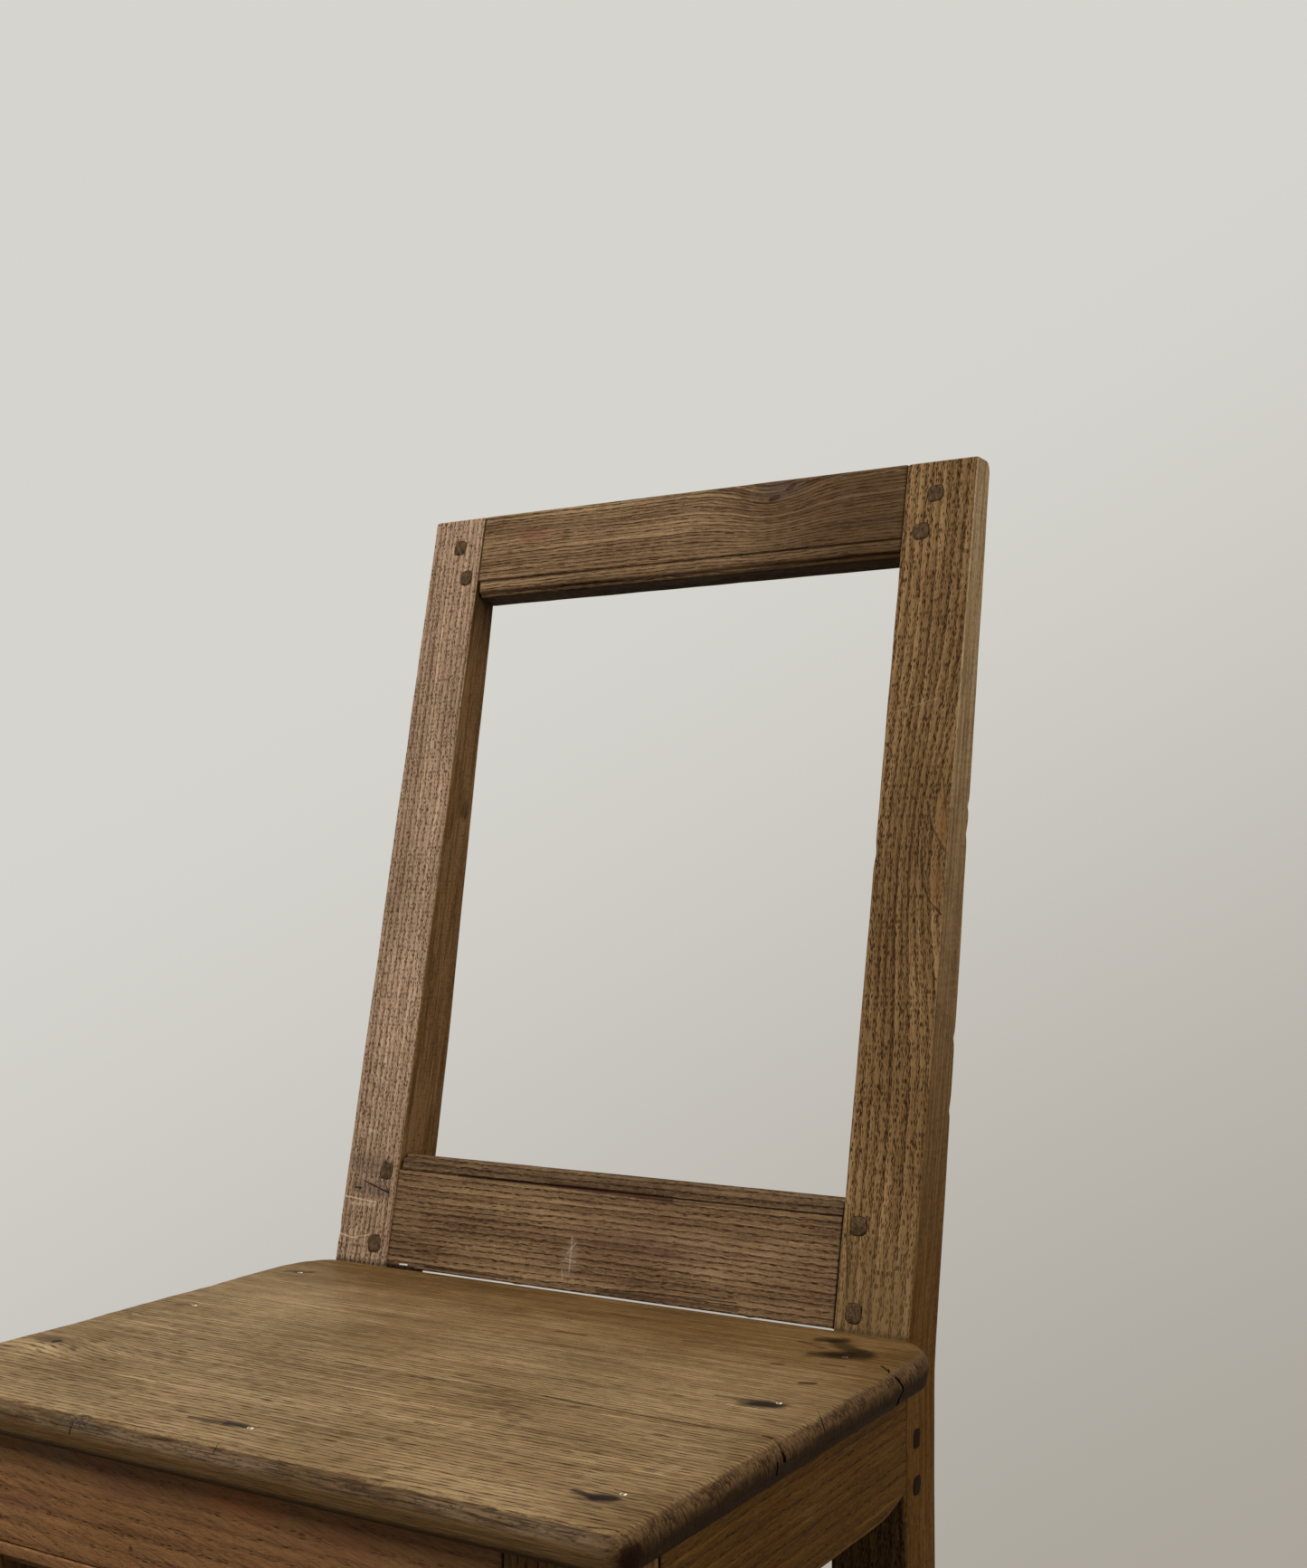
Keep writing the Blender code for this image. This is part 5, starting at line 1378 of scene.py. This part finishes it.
# Cracks in the board: places (x, y in mm from the posts' face), widths in mm at the first
# and last place, and how it jogs sideways with depth, as (depth, shift), from top to bottom
CRACKS = (
    (((88.4, -181.3), (110.7, -183.4), (140.5, -184), (170.5, -183.2), (196, -182.6), (207.1, -182.4),
      (213, -184), (218, -186.6), (226, -189.6)), 0.5, 2.8, ((-2, 0), (4, -0.6), (8.5, -1.4))),
    (((213, -193.4), (219, -194.8), (226, -196.6)), 0.8, 1.6, ((6.2, 0), (12.5, -1.2))),
    (((209, -53), (211.7, -55), (214.5, -61.5), (219, -62.5), (222, -67.5), (227.3, -68.5)), 0.3, 1.8,
     ((-2, 0), (2, 1), (5, 7), (8, 11), (10, 10), (13, 3), (19, 1))),
    (((212, -137.5), (215.5, -142), (219.5, -146), (226, -148)), 0.15, 0.9, ((-2, 0), (6, -1.5))),
    (((-81, -328), (-80.4, -318)), 1.0, 0.4, ((3.2, 0), (8.2, 0.8))),
    (((8.4, -324), (7.4, -318), (5.6, -314)), 0.6, 0.2, ((-1, 0), (3.0, 0.4))),
)


def crack_cutter(path, tip, mouth, levels):
    """A thin crooked wedge along a path, which steps aside as it goes down."""
    last = len(path) - 1
    around = 2 * len(path)
    points, faces = [], []
    for depth, shift in levels:
        for k, (x, y) in enumerate(path):
            width = tip + (mouth - tip) * k / last
            step = Vector(path[min(k + 1, last)]) - Vector(path[max(k - 1, 0)])
            side = Vector((-step.y, step.x)).normalized() * width / 2
            for way in (1, -1):
                points.append(((x + side.x * way) * MM, FACE + (y + side.y * way + shift * k / last) * MM,
                               SEAT_TOP - depth * MM))
    stop = len(points) - around
    for a in range(0, 2 * last, 2):
        faces += [(a, a + 2, a + 3, a + 1), (stop + a + 1, stop + a + 3, stop + a + 2, stop + a)]
    for up in range(0, stop, around):
        low = up + around
        for a in range(0, 2 * last, 2):
            b, c, d = a + 1, a + 2, a + 3
            faces += [(up + a, low + a, low + c), (up + a, low + c, up + c),
                      (up + d, low + d, up + b), (low + d, low + b, up + b)]
        faces.append((up + 1, low + 1, low, up))
        end = 2 * last
        faces.append((up + end, low + end, low + end + 1, up + end + 1))
    return solid("crack", points, faces, None)


def make_nails():
    """Hand-made nail heads, sunk a little, with painted highlights on the crown."""
    spots = sorted(range(1, 8), key=lambda number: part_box(f"seat_nail_{number}")[0].x)
    for number in spots:
        low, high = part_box(f"seat_nail_{number}")
        middle = (low + high) / 2
        nearest = min(NAIL_PLACES, key=lambda stain: math.hypot(
            stain[0] * MM - middle.x, FACE + stain[1] * MM - middle.y))
        x, y = nearest[0] * MM, FACE + nearest[1] * MM
        top = SEAT_TOP - board_drop(x, y) + 0.5 * MM
        rings = []
        for share, drop in NAIL_SHAPE:
            ring = []
            for k in range(NAIL_POINTS):
                angle = math.tau * k / NAIL_POINTS
                uneven = 1 + 0.14 * ripple(math.cos(angle), math.sin(angle), number, 0.9)
                reach = 2.1 * MM * share * uneven
                ring.append((x + reach * math.cos(angle), y + reach * math.sin(angle), top - drop * MM))
            rings.append(ring)

        def describe(place, x=x, y=y, rust=0.85 * (nearest == RUSTY_NAIL)):
            return (place.x - x, place.y - y, place.z), 0.0, rust, 0.0

        dress(loft(f"iron_nail_{number}", rings, IRON), describe, f"seat_nail_{number}")


PEGS = list_pegs()
for side, sign in SIDES:
    make_post(side, sign)
    make_leg(side, sign)
make_back_rails()
make_frame()
for peg in PEGS:
    make_peg(peg)
make_seat()
make_nails()


# Stage

FLOOR_REACH = 1.3
FLOOR_RINGS, FLOOR_AROUND = 12, 48
FLOOR_EDGE = 0.72
FLOOR_CLEAR = 0.30
FLOOR_BOUNCE = (104, 84, 60)


def make_floor():
    """A pale floor under the chair that melts into the background, and sends warm light back."""
    around = FLOOR_AROUND
    points = [(0.0, 0.0, 0.0)]
    for ring in range(1, FLOOR_RINGS + 1):
        for k in range(around):
            angle = math.tau * k / around
            size = FLOOR_REACH * ring / FLOOR_RINGS
            points.append((size * math.cos(angle), size * math.sin(angle), 0.0))
    faces = [(0, 1 + k, 1 + (k + 1) % around) for k in range(around)]
    for low in range(1, 1 + (FLOOR_RINGS - 1) * around, around):
        for k in range(around):
            high, after = low + around, (k + 1) % around
            faces.append((low + k, high + k, high + after, low + after))
    data = bpy.data.meshes.new("floor")
    data.from_pydata(points, [], faces)
    floor = add_object("floor", data)
    shader = Shader("pale_floor")
    where = shader.node("ShaderNodeTexCoord", {}, 3)
    x, y, z = shader.split(where)
    cloud = shader.clouds(where, 3.0, 0.5)
    pale = shader.mix(cloud, (210, 207, 200), (218, 216, 209))
    shader.colour = shader.mix(shader.background_seen(), FLOOR_BOUNCE, pale)
    shader.feed(shader.fade(shader.length(x, y), FLOOR_EDGE, FLOOR_CLEAR), shader.surface.inputs["Alpha"])
    data.materials.append(shader.finish(0.85, cloud * (0.2 * MM)))


ROOM_LIGHT = 0.15


def make_world():
    """Dim even light, with a pale wall colour behind everything that the camera sees, darkened towards the
    lower right by painted shade.
    """
    shader = Shader("backdrop")
    world = bpy.data.worlds.new("studio")
    bpy.context.scene.world = world
    world.use_nodes = True
    shader.tree = tree = world.node_tree
    light = tree.nodes["Background"]
    light.inputs["Color"].default_value = (1.0, 0.98, 0.95, 1)
    light.inputs["Strength"].default_value = ROOM_LIGHT
    across, into, up = shader.split(shader.node("ShaderNodeTexCoord", {}, 0))
    right = across * math.cos(math.radians(YAW)) + into * math.sin(math.radians(YAW))
    # Painted shade on the wall: it darkens towards the lower right
    share = shader.fade(up * 1.2 - right * 0.62 + 0.72, 0.0, 1.0)
    paint = shader.mix(share, (168, 162, 152), (214, 212, 206))
    wall = shader.node("ShaderNodeBackground", {"Color": paint})
    inputs = {0: shader.background_seen(), 1: Field(shader, light.outputs[0]), 2: wall}
    shader.feed(shader.node("ShaderNodeMixShader", inputs), tree.nodes["World Output"].inputs[0])
    bpy.data.materials.remove(shader.material)


# Lamps: place, target, size, power and colour
LAMPS = (
    ("window", (-1.15, -1.85, 2.75), (0.0, -0.05, 0.6), 1.8, 106, (1.0, 0.985, 0.95)),
    ("room", (2.3, -0.3, 1.7), (0.0, 0.0, 0.65), 1.6, 24, (1.0, 0.88, 0.70)),
    ("rear", (0.6, 2.4, 2.4), (0.0, 0.0, 0.6), 2.0, 12, (1.0, 0.98, 0.96)),
)


def make_lights():
    for name, place, target, size, power, colour in LAMPS:
        data = bpy.data.lights.new(name, "AREA")
        data.shape = "DISK"
        data.size = size
        data.energy = power
        data.color = colour
        lamp = add_object(name, data)
        lamp.location = place
        lamp.rotation_euler = (Vector(target) - Vector(place)).to_track_quat("-Z", "Y").to_euler()


# The camera, from the photograph's own perspective. The frame is 1445 by 1733 pixels.
FRAME_LONG = 1733
FOCAL_PIXELS = 2005.17
CENTRE_ROW = 937.94
EYE = (583.05, -902.54, 252.52)
YAW, PITCH, ROLL = 30.986, 0.610, -0.119
SENSOR = 36.0


def make_camera():
    data = bpy.data.cameras.new("camera")
    camera = add_object("camera", data)
    data.sensor_width = SENSOR
    data.lens = FOCAL_PIXELS / FRAME_LONG * SENSOR
    data.shift_y = (CENTRE_ROW - FRAME_LONG / 2) / FRAME_LONG
    camera.location = (EYE[0] * MM, FACE + EYE[1] * MM, SEAT_TOP + EYE[2] * MM)
    turns = ((YAW, "Z"), (90 + PITCH, "X"), (ROLL, "Z"))
    first, second, third = (Matrix.Rotation(math.radians(angle), 3, axis) for angle, axis in turns)
    camera.rotation_euler = (first @ second @ third).to_euler()
    bpy.context.scene.camera = camera


make_floor()
make_world()
make_lights()
make_camera()
bpy.context.scene.view_settings.view_transform = "Standard"
